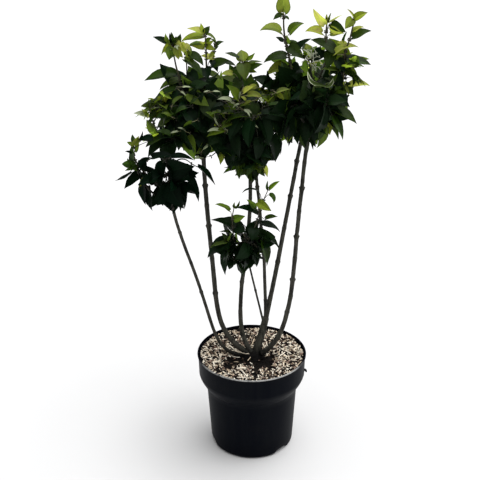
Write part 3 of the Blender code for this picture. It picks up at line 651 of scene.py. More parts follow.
def chip(soup, centre, along, up, length, width, thick, rng, bend=0.0, point=0.35):
    """One torn chip: a bent lens of four rows round an uneven outline."""
    side = np.cross(up, along)
    t = np.array([0.0, 0.16, 0.5, 0.84, 1.0])
    w = np.array([rng.uniform(0.25, 0.75) * (1 - point), rng.uniform(0.75, 1.05), rng.uniform(0.85, 1.1), rng.uniform(0.65, 1.0), rng.uniform(0.1, 0.7) * (1 - point)])
    shift = rng.normal(0, 0.10, 5)
    mid = centre + along * ((t - 0.5) * length)[:, None] + up * (bend * length * (4 * (t - 0.5) ** 2 - 0.4))[:, None]
    mid = mid + side * (shift * width * 0.5)[:, None]
    h = thick * 0.5 * np.array([0.35, 0.9, 1.0, 0.9, 0.35])
    ring = []
    for sx, sy in ((-1, -0.55), (-0.82, 0.8), (0.0, 1.05), (0.82, 0.8), (1, -0.55), (0.0, -1.0)):
        ring.append(mid + side * (w * width * 0.5 * sx)[:, None] + up * (h * sy * rng.uniform(0.8, 1.2))[:, None])
    ring = np.stack(ring, 1)
    ends = [(ring[0].mean(0) + 0.12 * (ring[0] - ring[0].mean(0)) - along * thick * 0.25)[None], ring,
            (ring[-1].mean(0) + 0.12 * (ring[-1] - ring[-1].mean(0)) + along * thick * 0.25)[None]]
    ring = np.concatenate(ends)
    i, j = rng.randint(0, 4, 2)
    u = (i + 0.05 + 0.9 * np.linspace(0, 1, 7)) / 4
    v = (j + 0.05 + 0.9 * np.linspace(0, 1, 7)) / 4
    soup.grid(ring, np.stack(np.broadcast_arrays(u[None], v[:, None]), -1), closed=True)


# Long pale slivers that show in the photo: ends (u, v), width in mm, shade.
SLIVERS = [((234.0, 350.4), (249.0, 353.8), 4.4, "cream"), ((247.4, 361.0), (251.6, 355.6), 1.8, "tan"), ((212.6, 362.2), (221.0, 361.4), 4.6, "cream"),
           ((213.0, 360.8), (214.6, 366.4), 3.2, "cream"), ((236.2, 368.4), (246.2, 367.6), 3.8, "cream"), ((262.4, 342.6), (264.6, 347.6), 2.4, "cream"),
           ((266.2, 341.4), (267.4, 347.0), 2.2, "cream"), ((284.6, 350.0), (291.2, 353.8), 2.6, "cream"), ((279.4, 356.2), (285.2, 352.0), 2.8, "cream"),
           ((259.8, 369.0), (263.6, 376.4), 2.8, "cream"), ((241.0, 369.6), (247.6, 376.8), 2.6, "cream"), ((237.0, 377.2), (248.6, 378.0), 2.4, "cream"),
           ((258.6, 378.4), (268.6, 377.4), 2.2, "cream"), ((246.4, 367.0), (249.8, 372.0), 2.4, "pink"), ((222.6, 371.0), (226.6, 374.6), 2.4, "cream"),
           ((296.0, 366.6), (302.0, 361.2), 2.2, "tan"), ((228.4, 344.4), (234.4, 349.6), 2.4, "cream"), ((232.0, 356.6), (240.0, 357.4), 1.6, "cream"),
           ((203.0, 356.0), (208.6, 352.6), 2.6, "cream"), ((262.0, 350.4), (268.6, 347.2), 2.0, "cream"), ((270.6, 337.6), (277.0, 333.4), 2.4, "cream"),
           ((276.6, 340.6), (280.6, 345.0), 2.4, "cream"), ((289.0, 334.0), (296.0, 337.0), 3.0, "tan"), ((251.4, 345.4), (254.6, 338.2), 2.6, "tan")]


def make_mulch(mats, count=2700):
    soups = {k: Soup() for k in mats}
    rng = np.random.RandomState(41)
    names = ["cream", "tan", "pink", "umber", "dark"]
    # the dark kind is near black: partly dark bark, and partly painted shade standing for the gaps between chips
    share = np.array([0.36, 0.18, 0.12, 0.13, 0.21])
    shaded = np.array([0.02, 0.07, 0.08, 0.25, 0.58])
    drift = waves(77, 9, 40.0, 160.0)
    n = 0
    while n < count:
        a, r = rng.uniform(0, math.tau), 0.1225 * math.sqrt(rng.uniform(0, 1))
        x, y = r * math.cos(a), r * math.sin(a)
        in_shadow_patch = float(shadow_patch_weight(x, y))
        # painted shadow: in the shadow patches most chips are left out, and those that stay are mostly the dark kinds
        if rng.uniform() < in_shadow_patch * 0.92:
            n += 1
            continue
        p = share * (1 - in_shadow_patch) + shaded * in_shadow_patch
        tone = float(drift(np.array([x, y, 0.0])))
        p = p * np.array([1 + 0.5 * tone, 1.0, 1 - 0.3 * tone, 1 - 0.4 * tone, 1 - 0.5 * tone]).clip(0.1)
        # lighter on the left, darker along the front and the back
        left, front, back = np.clip([-x / 0.05 - 0.6, -y / 0.03 - 1.9, y / 0.03 - 1.4], 0, 1)
        pale = 1 + 0.55 * left - 0.45 * front - 0.30 * back
        p = p * np.array([pale, 1.0, 1.0, 1 / pale, 1 / pale])
        kind = names[rng.choice(5, p=p / p.sum())]
        long_one = rng.uniform() < 0.10
        length = rng.uniform(0.009, 0.016) if long_one else rng.uniform(0.0034, 0.0086)
        width = min(length * 0.7, rng.uniform(0.0016, 0.0029) if long_one else rng.uniform(0.0020, 0.0045))
        thick = rng.uniform(0.0007, 0.0018)
        yaw = rng.uniform(0, math.tau)
        tilt = rng.normal(0, 0.30)
        along = unit([math.cos(yaw) * math.cos(tilt), math.sin(yaw) * math.cos(tilt), math.sin(tilt)])
        up = turn(unit(np.cross(np.cross(along, UP), along)), along, rng.normal(0, 0.50))
        reach = length * 0.5
        if r + reach > 0.1236:
            k = (0.1236 - reach) / r
            x, y = x * k, y * k
        z = float(soil_height(x, y)) + rng.uniform(-0.0002, 0.0030) * (1 - 0.6 * in_shadow_patch) + abs(math.sin(tilt)) * reach * 0.4
        chip(soups[kind], np.array([x, y, z]), along, up, length, width, thick, rng, bend=rng.normal(0, 0.05))
        n += 1
    for i, (a, b, mm, kind) in enumerate(SLIVERS):
        lift = 0.0150 if i == 0 else 0.0085
        p, q = on_level(*a, SOIL_Z + lift), on_level(*b, SOIL_Z + lift)
        for e in (p, q):
            r = math.hypot(e[0], e[1])
            if r > 0.1225:
                e[:2] *= 0.1225 / r
        along = unit(q - p)
        up = unit(np.cross(np.cross(along, UP), along))
        if i == 0:      # this one lies on its edge, against the foot of a stem
            up = unit(up + np.array([0.0, -1.1, 0.0]))
        chip(soups[kind], (p + q) / 2, along, up, float(np.linalg.norm(q - p)), mm / 1000 * 1.15, mm / 1000 * 0.6, rng, bend=rng.normal(0.0, 0.02), point=0.2)
    for kind, soup in soups.items():
        soup.build("mulch_" + kind, mats[kind], "mulch", sharp=50)


# ------------------------------------------------------------------ stems
# name: Bezier controls from the root crown up, radius at foot and at tip, flare, straight run at the tip
STEMS = {
    "stem_far_left": ([(-.0065, -.0043, .2390), (-.1244, .0040, .2098), (-.0732, -.0040, .3866), (-.1518, -.0300, .4824), (-.1701, -.0950, .6490)], .0040, .0034, .25, .030),
    "stem_left": ([(-.0101, -.0053, .2410), (-.1205, .0200, .3017), (-.0621, .0280, .3949), (-.1066, .0400, .4949), (-.1097, .0550, .7170)], .0058, .0048, .25, .090),
    "stem_back": ([(-.0005, -.0063, .2430), (-.0609, .0300, .3092), (.0019, .0750, .4370), (-.0045, .1000, .6567)], .0052, .0041, .25, .130),
    "short_trunk": ([(.0104, .0003, .2390), (.0180, .0040, .2680), (.0262, .0130, .2880), (.0330, .0220, .3200)], .0090, .0078, .20, .0),
    "stem_centre": ([(.0330, .0220, .3170), (.0315, .0240, .3616), (.0305, -.0100, .4922), (.0054, -.0350, .7219)], .0040, .0034, .10, .010),
    "stem_right_back": ([(.0330, .0220, .3170), (.0428, .0300, .3547), (.0709, .0600, .5120), (.1077, .1000, .7152)], .0056, .0041, .10, .125),
    "stem_thin": ([(.0300, .0180, .3020), (.0242, .0, .3341), (.0154, -.0500, .3933), (-.0114, -.0750, .5257)], .0026, .0021, .15, .0),
    "stem_right": ([(.0246, -.0075, .2410), (.1082, -.0200, .3074), (.0855, -.0400, .4814), (.1132, -.0550, .7832)], .0056, .0041, .30, .040),
}
# Bud pairs on each stem: heights in the photo (v), with the pair that faces left and right first,
# then the pairs that face front and back.
PAIRS = {   # (height in the photo, how strongly the node shows)
    "stem_far_left": (((292, .45), (232, .45)), ((262, .40), (318, .35))),
    "stem_left": (((185, 1.0), (226, .90), (293, .55)), ((205, .60), (258, .50))),
    "stem_back": (((282, .40), (206, .50)), ((240, .40), (312, .35))),
    "short_trunk": ((), ()),
    "stem_centre": (((187, .80), (228, .50), (300, .35)), ((208, .50), (262, .40))),
    "stem_right_back": (((161, .90), (196, .75), (262, .45)), ((178, .60), (228, .60), (298, .35))),
    "stem_thin": (((290, .40),), ((312, .35),)),
    "stem_right": (((188, 1.1), (236, 1.0), (279, .90), (312, .35)), ((162, .60), (211, .70), (258, .60), (296, .50))),
}


def seen(points):
    """Where the camera sees points, in its 480 x 480 frame."""
    d = np.asarray(points) - EYE
    z = d[:, 1] * math.cos(LOOK_DOWN) - d[:, 2] * math.sin(LOOK_DOWN)
    y = d[:, 1] * math.sin(LOOK_DOWN) + d[:, 2] * math.cos(LOOK_DOWN)
    return np.stack([240 + FOCAL * d[:, 0] / z, 240 - FOCAL * y / z], 1)


def bark_relief(seed, run_of_pairs, radius):
    """Ridges, lenticels, swollen nodes and bud nubs as a factor on a limb's radius."""
    rng = np.random.RandomState(seed)
    ridges = [(k, rng.uniform(0, math.tau), rng.uniform(20, 90), rng.uniform(0.6, 1.0)) for k in (2, 3, 5, 7, 9, 11)]
    bumps = [(rng.uniform(0, 0.62), rng.uniform(0, math.tau), rng.uniform(0.0008, 0.0022), rng.uniform(0.12, 0.34), rng.uniform(0.02, 0.06)) for _ in range(170)]

    def f(run, angle):
        g = 1.0 + 0 * run * angle
        for k, ph, m, amp in ridges:
            g = g + 0.016 * amp * np.sin(k * angle + ph + 1.6 * np.sin(m * run + ph)) * (1.0 + 0.6 * np.sin(m * 2.3 * run))
        g = g + 0.018 * np.sin(run * 310 + seed) * np.sin(run * 97 + 1.3 * seed)
        for s, a, w, wa, h in bumps:
            da = np.angle(np.exp(1j * (angle - a)))
            g = g + h * np.exp(-((run - s) / w) ** 2 - (da / wa) ** 2)
        for s, a, strong in run_of_pairs:
            x = run - s
            g = g + strong * (0.13 * np.exp(-(x / 0.0036) ** 2) + 0.08 * np.exp(-((x + 0.0045) / 0.0060) ** 2) - 0.05 * np.exp(-((x - 0.0085) / 0.004) ** 2))
            for b in (a, a + math.pi):
                da = np.angle(np.exp(1j * (angle - b)))
                g = g + strong * (0.0022 / radius) * np.exp(-((x - 0.0006) / 0.0017) ** 2 - (da / 0.36) ** 2)
                g = g + strong * (0.0008 / radius) * np.exp(-((x + 0.0032) / 0.0016) ** 2 - (da / 0.55) ** 2)
        return g
    return f


def stem_line(spec):
    controls, r0, r1, flare, extra = spec
    path = bezier(controls, np.linspace(0, 1, 80))
    if extra:
        d = unit(path[-1] - path[-2])
        path = np.concatenate([path, path[-1] + d * np.linspace(0.005, extra, 20)[:, None]])
    return path


def make_stems(mat):
    soup = Soup()
    n = len(STEMS)
    for i, (name, spec) in enumerate(STEMS.items()):
        path, run = even(stem_line(spec), 0.0016)
        _, r0, r1, flare, _ = spec
        uv_seen = seen(path)
        a, b, d = frames(path)
        pairs = []
        for side, list_v in enumerate(PAIRS[name]):
            for v, strong in list_v:
                k = int(np.argmin(np.abs(uv_seen[:, 1] - v)))
                want = np.array([1.0, 0.0, 0.0]) if side == 0 else np.array([0.0, 1.0, 0.0])
                pairs.append((run[k], math.atan2(want.dot(b[k]), want.dot(a[k])), strong))
        # the stem kinks a little at each node
        rng = np.random.RandomState(90 + i)
        kink = np.zeros_like(path)
        for s, _, _ in sorted(pairs):
            kink += (rng.normal(0, 0.0007, 3) * np.array([1, 1, 0])) * np.exp(-np.abs(run - s) / 0.03)[:, None]
        path = path + kink * np.clip(run / 0.03, 0, 1)[:, None]
        radius = (r0 + (r1 - r0) * run / run[-1]) * (1 + flare * np.exp(-run / 0.035))
        soup.tube(path, radius, 26, tile=(i / n, 0.0, (i + 0.94) / n, 1.0), relief=bark_relief(60 + i, pairs, (r0 + r1) / 2))
    soup.build("stems_bark", mat, "bark", *STEMS)


def make_root_crown(mat):
    """The gnarled foot where the stems leave the root, ridged towards each of them."""
    soup = Soup()
    seg, rows = 96, 46
    rough = waves(21, 16, 70.0, 260.0)
    fine = waves(22, 26, 400.0, 1100.0)
    a = np.arange(seg) * math.tau / seg
    toward = [math.atan2(c[1][1] + 0.004, c[1][0]) for c in (s[0] for s in STEMS.values())]
    pts = np.zeros((rows, seg, 3))
    for i in range(rows):
        h = i / (rows - 1)
        shape = math.cos(h * math.pi / 2) ** 0.55 if h < 0.999 else 0.02
        flare = 1 + 0.20 * (1 - h) ** 3
        lobes = 1 + 0.09 * np.sin(3 * a + 0.6) * (1 - 0.4 * h) + 0.05 * np.sin(5 * a + 2)
        for t in toward[:6]:
            lobes = lobes + 0.10 * np.exp(-(np.angle(np.exp(1j * (a - t))) / 0.30) ** 2) * (1 - h)
        x = 0.0035 + np.cos(a) * 0.0235 * lobes * flare * shape
        y = -0.0015 + np.sin(a) * 0.0165 * lobes * flare * shape
        pts[i] = np.stack([x, y, np.full(seg, SOIL_Z - 0.0010 + h * 0.0240)], -1)
    out = pts - np.array([0.0035, -0.0015, SOIL_Z])
    out[..., 2] *= 0.4
    out /= np.linalg.norm(out, axis=-1, keepdims=True) + 1e-9
    damp = np.clip(np.minimum(np.arange(rows), (rows - 1 - np.arange(rows)) * 0.6) / 5.0, 0, 1)[:, None, None]
    pts = pts + out * damp * (0.0011 * rough(pts) + 0.0005 * fine(pts))[..., None]
    uv = np.stack(np.broadcast_arrays(np.linspace(0, 1, seg + 1)[None], np.linspace(0, 1, rows)[:, None]), -1)
    soup.grid(pts, uv, closed=True)
    soup.build("root_crown_bark", mat, "bark", "root_crown")


# ------------------------------------------------------------------ growth rule
class Plant:
    def __init__(self):
        self.leaves = []      # dicts
        self.twigs = []       # (points, radii, kind)
        self.petioles = []
        self.buds = []

    def leaf(self, node, axis, radial, size, age, tint, droop, rng, young, owner):
        """One leaf on its petiole. radial is the side it leaves the shoot on."""
        a = math.radians(24 + 50 * age + rng.uniform(-9, 9)) if young else math.radians(40 + 38 * age + rng.uniform(-12, 12))
        d = axis * math.cos(a) + radial * math.sin(a)
        n = axis * math.sin(a) - radial * math.cos(a)
        swing = turn(d, UP, 0) 
        # weight turns the leaf down, in the vertical plane that holds it
        side = np.cross(d, -UP)
        if np.linalg.norm(side) < 0.05:
            side = np.cross(radial, -UP) + 1e-6
        now = math.acos(max(-1, min(1, d.dot(-UP))))
        ang = min(math.radians(droop) * (0.35 + 0.65 * age) * rng.uniform(0.7, 1.25), now * 0.93)
        d = turn(d, side, ang); n = turn(n, side, ang)
        # the blade turns its face to the light
        side2 = np.cross(d, n)
        lean = math.atan2(side2.dot(UP), n.dot(UP))
        tw = -max(-0.9, min(0.9, lean)) * rng.uniform(0.1, 0.6) + rng.uniform(-0.25, 0.25)
        n = turn(n, d, -tw * 0.8)
        pet = size * rng.uniform(0.20, 0.34)
        pd = unit(axis * math.cos(a * 0.75) + radial * math.sin(a * 0.75))
        base = node + pd * pet * 0.55 + d * pet * 0.45
        self.petioles.append((node, node + pd * pet * 0.5, base, size, tint))
        self.leaves.append(dict(p=base, d=unit(d), n=unit(n), L=size, W=size * rng.uniform(0.62, 0.80) * (0.80 if young and age < 0.3 else 1.0),
                                bend=math.radians(rng.uniform(12, 34) + 16 * age), fold=math.radians(rng.uniform(14, 30) + (12 if age < 0.25 else 0)),
                                curl=rng.uniform(0.0, 0.35), twist=math.radians(rng.uniform(-16, 16)),
                                wave=rng.uniform(0.0, 0.05), phase=rng.uniform(0, 6.28), tint=max(0, min(4, tint)), owner=owner))

    def shoot(self, p0, d0, p1, seed, pairs, size, tint, droop=35, young=False, first=0.3, radius=0.0018, lift=0.7, owner=0, step=1, tiny=True, jit=0.0):
        rng = np.random.RandomState(int(seed) % (2**31 - 1))
        p0 = np.asarray(p0, float); p1 = np.asarray(p1, float)
        if jit:
            p1 = p1 + rng.normal(0, jit, 3)
        dist = np.linalg.norm(p1 - p0)
        out = unit(p1 - p0)
        d1 = unit(out + UP * lift)
        c = [p0, p0 + unit(d0) * dist * 0.33, p1 - d1 * dist * 0.33, p1]
        pts = bezier(c, np.linspace(0, 1, 9))
        self.twigs.append((pts, np.linspace(radius, radius * 0.6, 9), 1 if young else 0, owner))
        fr = first + (1 - first) * (np.arange(pairs) / max(pairs - 1, 1)) ** 0.85 if pairs > 1 else np.array([1.0])
        pos = bezier(c, fr)
        tan = bezier(c, np.clip(fr + 0.02, 0, 1.05)) - bezier(c, np.clip(fr - 0.02, 0, 1))
        roll = rng.uniform(0, math.pi)
        for k in range(pairs):
            axis = unit(tan[k])
            ref = unit(np.cross(axis, [0.31, 0.94, 0.12]))
            age = 1 - k / max(pairs - 1, 1) if pairs > 1 else 0.5
            for s in (0, 1):
                radial = turn(ref, axis, roll + math.pi * s + rng.uniform(-0.2, 0.2))
                tk = tint - step * (1 if age < 0.34 else 0) + (step if age > 0.8 and rng.rand() < 0.4 else 0)
                ln = size * (0.62 + 0.38 * age ** 0.7) * rng.uniform(0.78, 1.12)
                self.leaf(pos[k], axis, radial, ln, age, tk, droop, rng, young, owner)
            self.buds.append((pos[k], axis, 0.0016 if young else 0.0021))
            roll += math.pi / 2 + rng.uniform(-0.25, 0.25)
        if tiny:
            axis = unit(tan[-1]); ref = unit(np.cross(axis, [0.31, 0.94, 0.12]))
            for s in (0, 1):
                radial = turn(ref, axis, roll + math.pi * s)
                self.leaf(pos[-1] + axis * 0.004, axis, radial, size * rng.uniform(0.26, 0.38), 0.0, tint - step, 0, rng, True, owner)
        return pts

T_ST = np.array([0, .05, .13, .25, .39, .54, .70, .84, .94, 1.0])
W_ST = np.array([.46, .74, .93, 1.0, .95, .81, .57, .30, .12, .015])
B_ST = np.array([-.07, -.035, -.01, 0, 0, 0, 0, 0, 0, 0])
S_ST = np.array([-1, -.5, 0, .5, 1.0])

def leaf_points(lv):
    """(N, T, S, 3) grid points for a list of leaf dicts."""
    g = lambda k: np.array([l[k] for l in lv], float)
    P, D, Nn = g('p'), g('d'), g('n')
    L, W, be, fo, cu, tw, wa, ph = (g(k) for k in ('L', 'W', 'bend', 'fold', 'curl', 'twist', 'wave', 'phase'))
    Sd = np.cross(D, Nn)
    T = len(T_ST)
    t = T_ST[None, :]
    ang = be[:, None] * t ** 1.15
    # integrate the midrib
    dt = np.diff(T_ST, prepend=0.0)
    dirs = np.cos(ang)[..., None] * D[:, None] - np.sin(ang)[..., None] * Nn[:, None]
    mid = P[:, None] + np.cumsum(dirs * (dt[None, :, None] * L[:, None, None]), axis=1)
    nor = np.cos(ang)[..., None] * Nn[:, None] + np.sin(ang)[..., None] * D[:, None]
    tww = tw[:, None] * t
    sd = Sd[:, None] * np.cos(tww)[..., None] + nor * np.sin(tww)[..., None]
    nn = nor * np.cos(tww)[..., None] - Sd[:, None] * np.sin(tww)[..., None]
    hw = 0.5 * W[:, None] * W_ST[None, :]
    s = S_ST[None, None, :]
    off = hw[..., None] * s
    lift = np.abs(off) * np.sin(fo)[:, None, None] - cu[:, None, None] * off ** 2 / (0.5 * W[:, None, None]) \
        + (wa * L)[:, None, None] * np.sin(9 * t[..., None] + ph[:, None, None] + 1.5 * s) * np.abs(s) * (hw / (0.5 * W[:, None]))[..., None]
    back = (B_ST[None, :] * L[:, None])[..., None] * np.abs(s) ** 1.5
    return mid[:, :, None] + sd[:, :, None] * (off * np.cos(fo)[:, None, None])[..., None] + nn[:, :, None] * lift[..., None] + dirs[:, :, None] * back[..., None]


# ------------------------------------------------------------------ the shrub
INNER = {
 'b_up':   ([(-.1088,.0575,.775),(-.1120,.0560,.820),(-.1040,.0500,.850),(-.1060,.0520,.895)], .0040,.0024),
 'b_tipw': ([(-.1100,.0570,.800),(-.1250,.0500,.830),(-.1500,.0410,.850),(-.1590,.0395,.890)], .0032,.0022),
 'b_side': ([(-.1120,.0560,.810),(-.1500,.0450,.800),(-.1850,.0300,.815),(-.2120,.0220,.826)], .0028,.0016),
 'b_fore': ([(-.1090,.0560,.770),(-.1200,.0300,.765),(-.1500,-.010,.770),(-.1850,-.0350,.782)], .0030,.0018),
 'b_back': ([(-.1090,.0570,.785),(-.1120,.1000,.785),(-.1260,.1450,.800),(-.1340,.1700,.830)], .0032,.0020),
 'b_mid':  ([(-.1090,.0560,.760),(-.0950,.0400,.765),(-.0700,.0100,.775),(-.0620,.0000,.820)], .0030,.0018),
 'a_up':   ([(-.1716,-.0980,.655),(-.1790,-.1050,.690),(-.1780,-.0950,.715),(-.1760,-.0880,.745)], .0032,.0020),
 'a_side': ([(-.1740,-.0990,.670),(-.2050,-.0950,.675),(-.2350,-.0880,.700),(-.2440,-.0860,.735)], .0024,.0016),
 'd_up':   ([(-.0114,-.0750,.5257),(-.0170,-.0830,.545),(-.0180,-.0880,.565),(-.0160,-.0900,.590)], .0020,.0014),
 'e_up':   ([(.0050,-.0350,.715),(.0030,-.0330,.740),(-.0010,-.0280,.765),(-.0030,-.0200,.795)], .0034,.0020),
 'c_up':   ([(-.0075,.1120,.760),(-.0080,.1100,.800),(-.0200,.0780,.820),(-.0235,.0640,.850)], .0038,.0022),
 'c_back': ([(-.0075,.1120,.755),(-.0060,.1400,.760),(-.0050,.1650,.775),(-.0050,.1800,.800)], .0030,.0018),
 'f_up':   ([(.1200,.1150,.800),(.1150,.1050,.830),(.0950,.0720,.850),(.0850,.0670,.900)], .0040,.0026),
 'f_tipw': ([(.1180,.1120,.815),(.1200,.0700,.840),(.1280,.0250,.855),(.1320,.0060,.890)], .0030,.0022),
 'f_back': ([(.1200,.1150,.795),(.1230,.1450,.800),(.1200,.1700,.820),(.1220,.1850,.850)], .0030,.0020),
 'f_low':  ([(.1180,.1120,.785),(.1100,.0900,.770),(.0980,.0500,.770),(.0900,.0200,.790)], .0026,.0018),
 'g_up':   ([(.1140,-.0560,.785),(.1200,-.0600,.830),(.1350,-.0580,.860),(.1480,-.0520,.900)], .0040,.0024),
 'g_sho':  ([(.1280,-.0580,.845),(.1550,-.0500,.870),(.1800,-.0300,.910),(.1930,-.0200,.960)], .0032,.0020),
 'g_mid':  ([(.1200,-.0580,.820),(.1000,-.0500,.835),(.0850,-.0300,.850),(.0780,-.0200,.870)], .0026,.0016),
}
# clusters of shoots: name, limb, centre, reach (half sizes of the volume the leaves fill), count, pairs, leaf size, tint, droop
CLUST = [
 ('left_crown','b_up',(-.141,.040,.838),(.077,.085,.069),9,3,.063,4,36),
 ('left_crown2','b_tipw',(-.150,.030,.845),(.072,.060,.062),7,3,.061,3,40),
 ('left_side','b_side',(-.205,.025,.838),(.052,.050,.045),4,3,.056,2,35),
 ('left_fore','b_fore',(-.165,-.018,.785),(.066,.060,.036),7,3,.060,4,50),
 ('left_back','b_back',(-.132,.155,.808),(.064,.062,.062),8,3,.063,4,40),
 ('centre_left','b_mid',(-.067,.010,.797),(.052,.060,.056),8,3,.062,3,42),
 ('low_left','a_up',(-.174,-.090,.711),(.067,.060,.060),10,3,.060,4,60),
 ('low_centre','d_up',(-.015,-.087,.556),(.074,.048,.059),7,3,.061,4,60),
 ('skirt','e_up',(-.004,-.035,.752),(.062,.063,.052),10,3,.063,4,62),
 ('centre_crown','c_up',(-.006,.060,.815),(.058,.075,.058),8,3,.062,4,36),
 ('centre_back','c_back',(-.005,.176,.785),(.061,.058,.050),7,3,.060,4,45),
 ('right_crown','f_up',(.099,.055,.860),(.080,.085,.072),10,3,.060,4,38),
 ('right_top','f_tipw',(.120,.030,.940),(.045,.050,.036),5,2,.062,3,30),
 ('right_back','f_back',(.120,.180,.838),(.072,.060,.062),8,3,.063,4,42),
 ('right_low','f_low',(.095,.030,.786),(.053,.060,.028),7,3,.060,4,60),
 ('right_front','g_up',(.136,-.055,.862),(.064,.060,.074),11,3,.063,4,52),
 ('right_mid','g_mid',(.090,-.030,.850),(.045,.050,.050),6,3,.060,4,45),
 ('right_shoulder','g_sho',(.196,-.020,.938),(.046,.058,.046),7,3,.056,3,35),
]
TIPS = [
 ('bk_l1',(186,118,.165),(180,94,.172),3,.048,1,25,.3,.0019),
 ('bk_l2',(200,112,.150),(199,90,.160),3,.046,1,25,.3,.0019),
 ('bk_c1',(238,128,.175),(232,110,.185),3,.046,1,25,.3,.0019),
 ('bk_c2',(250,126,.180),(252,112,.190),3,.044,1,25,.3,.0018),
 ('bk_r1',(306,100,.180),(300,78,.188),3,.048,1,25,.3,.0019),
 ('bk_r2',(322,98,.185),(325,74,.190),4,.046,0,20,.3,.0019),
 ('bk_r3',(335,104,.165),(341,88,.170),3,.046,1,25,.3,.0018),
 ('bk_s1',(214,118,.020),(205,104,.010),2,.050,2,30,.4,.0016),
 ('bk_s2',(270,118,.010),(268,104,.0),2,.048,2,30,.4,.0016),
]
# For each cluster, one (seed, shade step, size step) to a shoot.
SHOOTS = {
    "left_crown": [(35325, 0, 2), (907189, 1, 2), (179970, 1, 1), (230395, -1, 0), (760639, 1, 0), (217585, 1, 2), (925204, 1, 0), (3845, 1, 2), (588842, 1, 2)],
    "left_crown2": [(847823, 1, 2), (894416, -1, 0), (205965, 1, 0), (636712, 1, 2), (239511, 1, 0), (205456, 1, 2), (620773, 0, 2)],
    "left_side": [(830774, 0, 0), (751681, 1, 0), (784454, 0, 0), (260756, 1, 1)],
    "left_fore": [(99490, 0, 2), (629850, 0, 1), (843995, 0, 2), (745346, -1, 2), (607212, 1, 0), (414503, 1, 1), (384974, 1, 2)],
    "left_back": [(329962, 1, 1), (11443, 0, 2), (739932, 0, 2), (171058, 0, 1), (675325, -1, 2), (763692, 0, 2), (879030, 0, 2), (25685, 1, 2)],
    "centre_left": [(609986, 1, 1), (523558, 1, 1), (983418, 1, 2), (740957, 0, 0), (32177, 0, 2), (66792, -1, 2), (20673, 0, 0), (814604, 0, 2)],
    "low_left": [(134388, 1, 2), (454681, 2, 2), (75084, 1, 2), (190410, 2, 1), (218917, 2, 1), (282457, 1, 1), (881431, 2, 0), (24729, 0, 0), (281306, 2, 0), (300249, 0, 1)],
    "low_centre": [(402615, 2, 0), (595566, 2, 2), (977505, 0, 1), (961155, 2, 1), (314770, 0, 0), (528806, 2, 0), (316404, 0, 0)],
    "skirt": [(347838, 1, 0), (420013, 1, 0), (749566, 1, 0), (757998, 1, 0), (701285, 1, 1), (564249, 0, 0), (204586, -1, 0), (21760, -1, 0), (94997, -1, 0), (206136, -1, 0)],
    "centre_crown": [(388259, -1, 2), (222017, -1, 2), (631540, 1, 0), (765382, -1, 2), (8070, -1, 2), (282723, 1, 2), (245500, 1, 0), (716793, 0, 0)],
    "centre_back": [(986271, -1, 2), (536586, -1, 2), (729501, 1, 2), (559806, -1, 2), (272376, 0, 2), (662758, 0, 2), (212054, 0, 2)],
    "right_crown": [(61243, -1, 2), (209007, 0, 1), (26158, 1, 2), (750239, 0, 2), (733421, 0, 2), (89310, -1, 2), (271890, 0, 1), (852654, 0, 2), (200508, 0, 1), (944455, -1, 2)],
    "right_top": [(389452, 1, 1), (838909, 0, 0), (378816, 0, 2), (596474, 1, 1), (280962, -1, 2)],
    "right_back": [(418775, 0, 2), (380297, 0, 2), (673752, -1, 1), (944438, -1, 2), (544154, 0, 2), (154661, 0, 1), (854901, 0, 2), (13246, 0, 2)],
    "right_low": [(75062, -1, 0), (785182, -1, 0), (230763, 0, 1), (812148, -1, 0), (182764, -1, 0), (188246, -1, 0), (236341, -1, 0)],
    "right_front": [(699193, 1, 2), (639558, 0, 2), (548908, 1, 2), (836246, 1, 0), (963143, 0, 2), (726617, 1, 1), (271527, 1, 1), (2504, 0, 1), (312219, 1, 0), (182707, -1, 1), (505898, 1, 0)],
    "right_mid": [(685448, 1, 2), (740392, 0, 2), (502466, -1, 0), (178789, 1, 1), (726886, -1, 2), (56697, 1, 1)],
    "right_shoulder": [(857339, 0, 0), (580361, -1, 1), (983124, 0, 0), (621462, 0, 0), (64080, 0, 1), (887800, 0, 0), (497935, 0, 0)],
    "bk_l1": [(421420, 1, 2)],
    "bk_l2": [(920000, 0, 2)],
    "bk_c1": [(337147, 1, 2)],
    "bk_c2": [(34208, 0, 2)],
    "bk_r1": [(306850, -1, 1)],
    "bk_r2": [(298735, -1, 1)],
    "bk_r3": [(73135, 1, 0)],
    "bk_s1": [(786153, 1, 0)],
    "bk_s2": [(800226, 1, 2)],
}

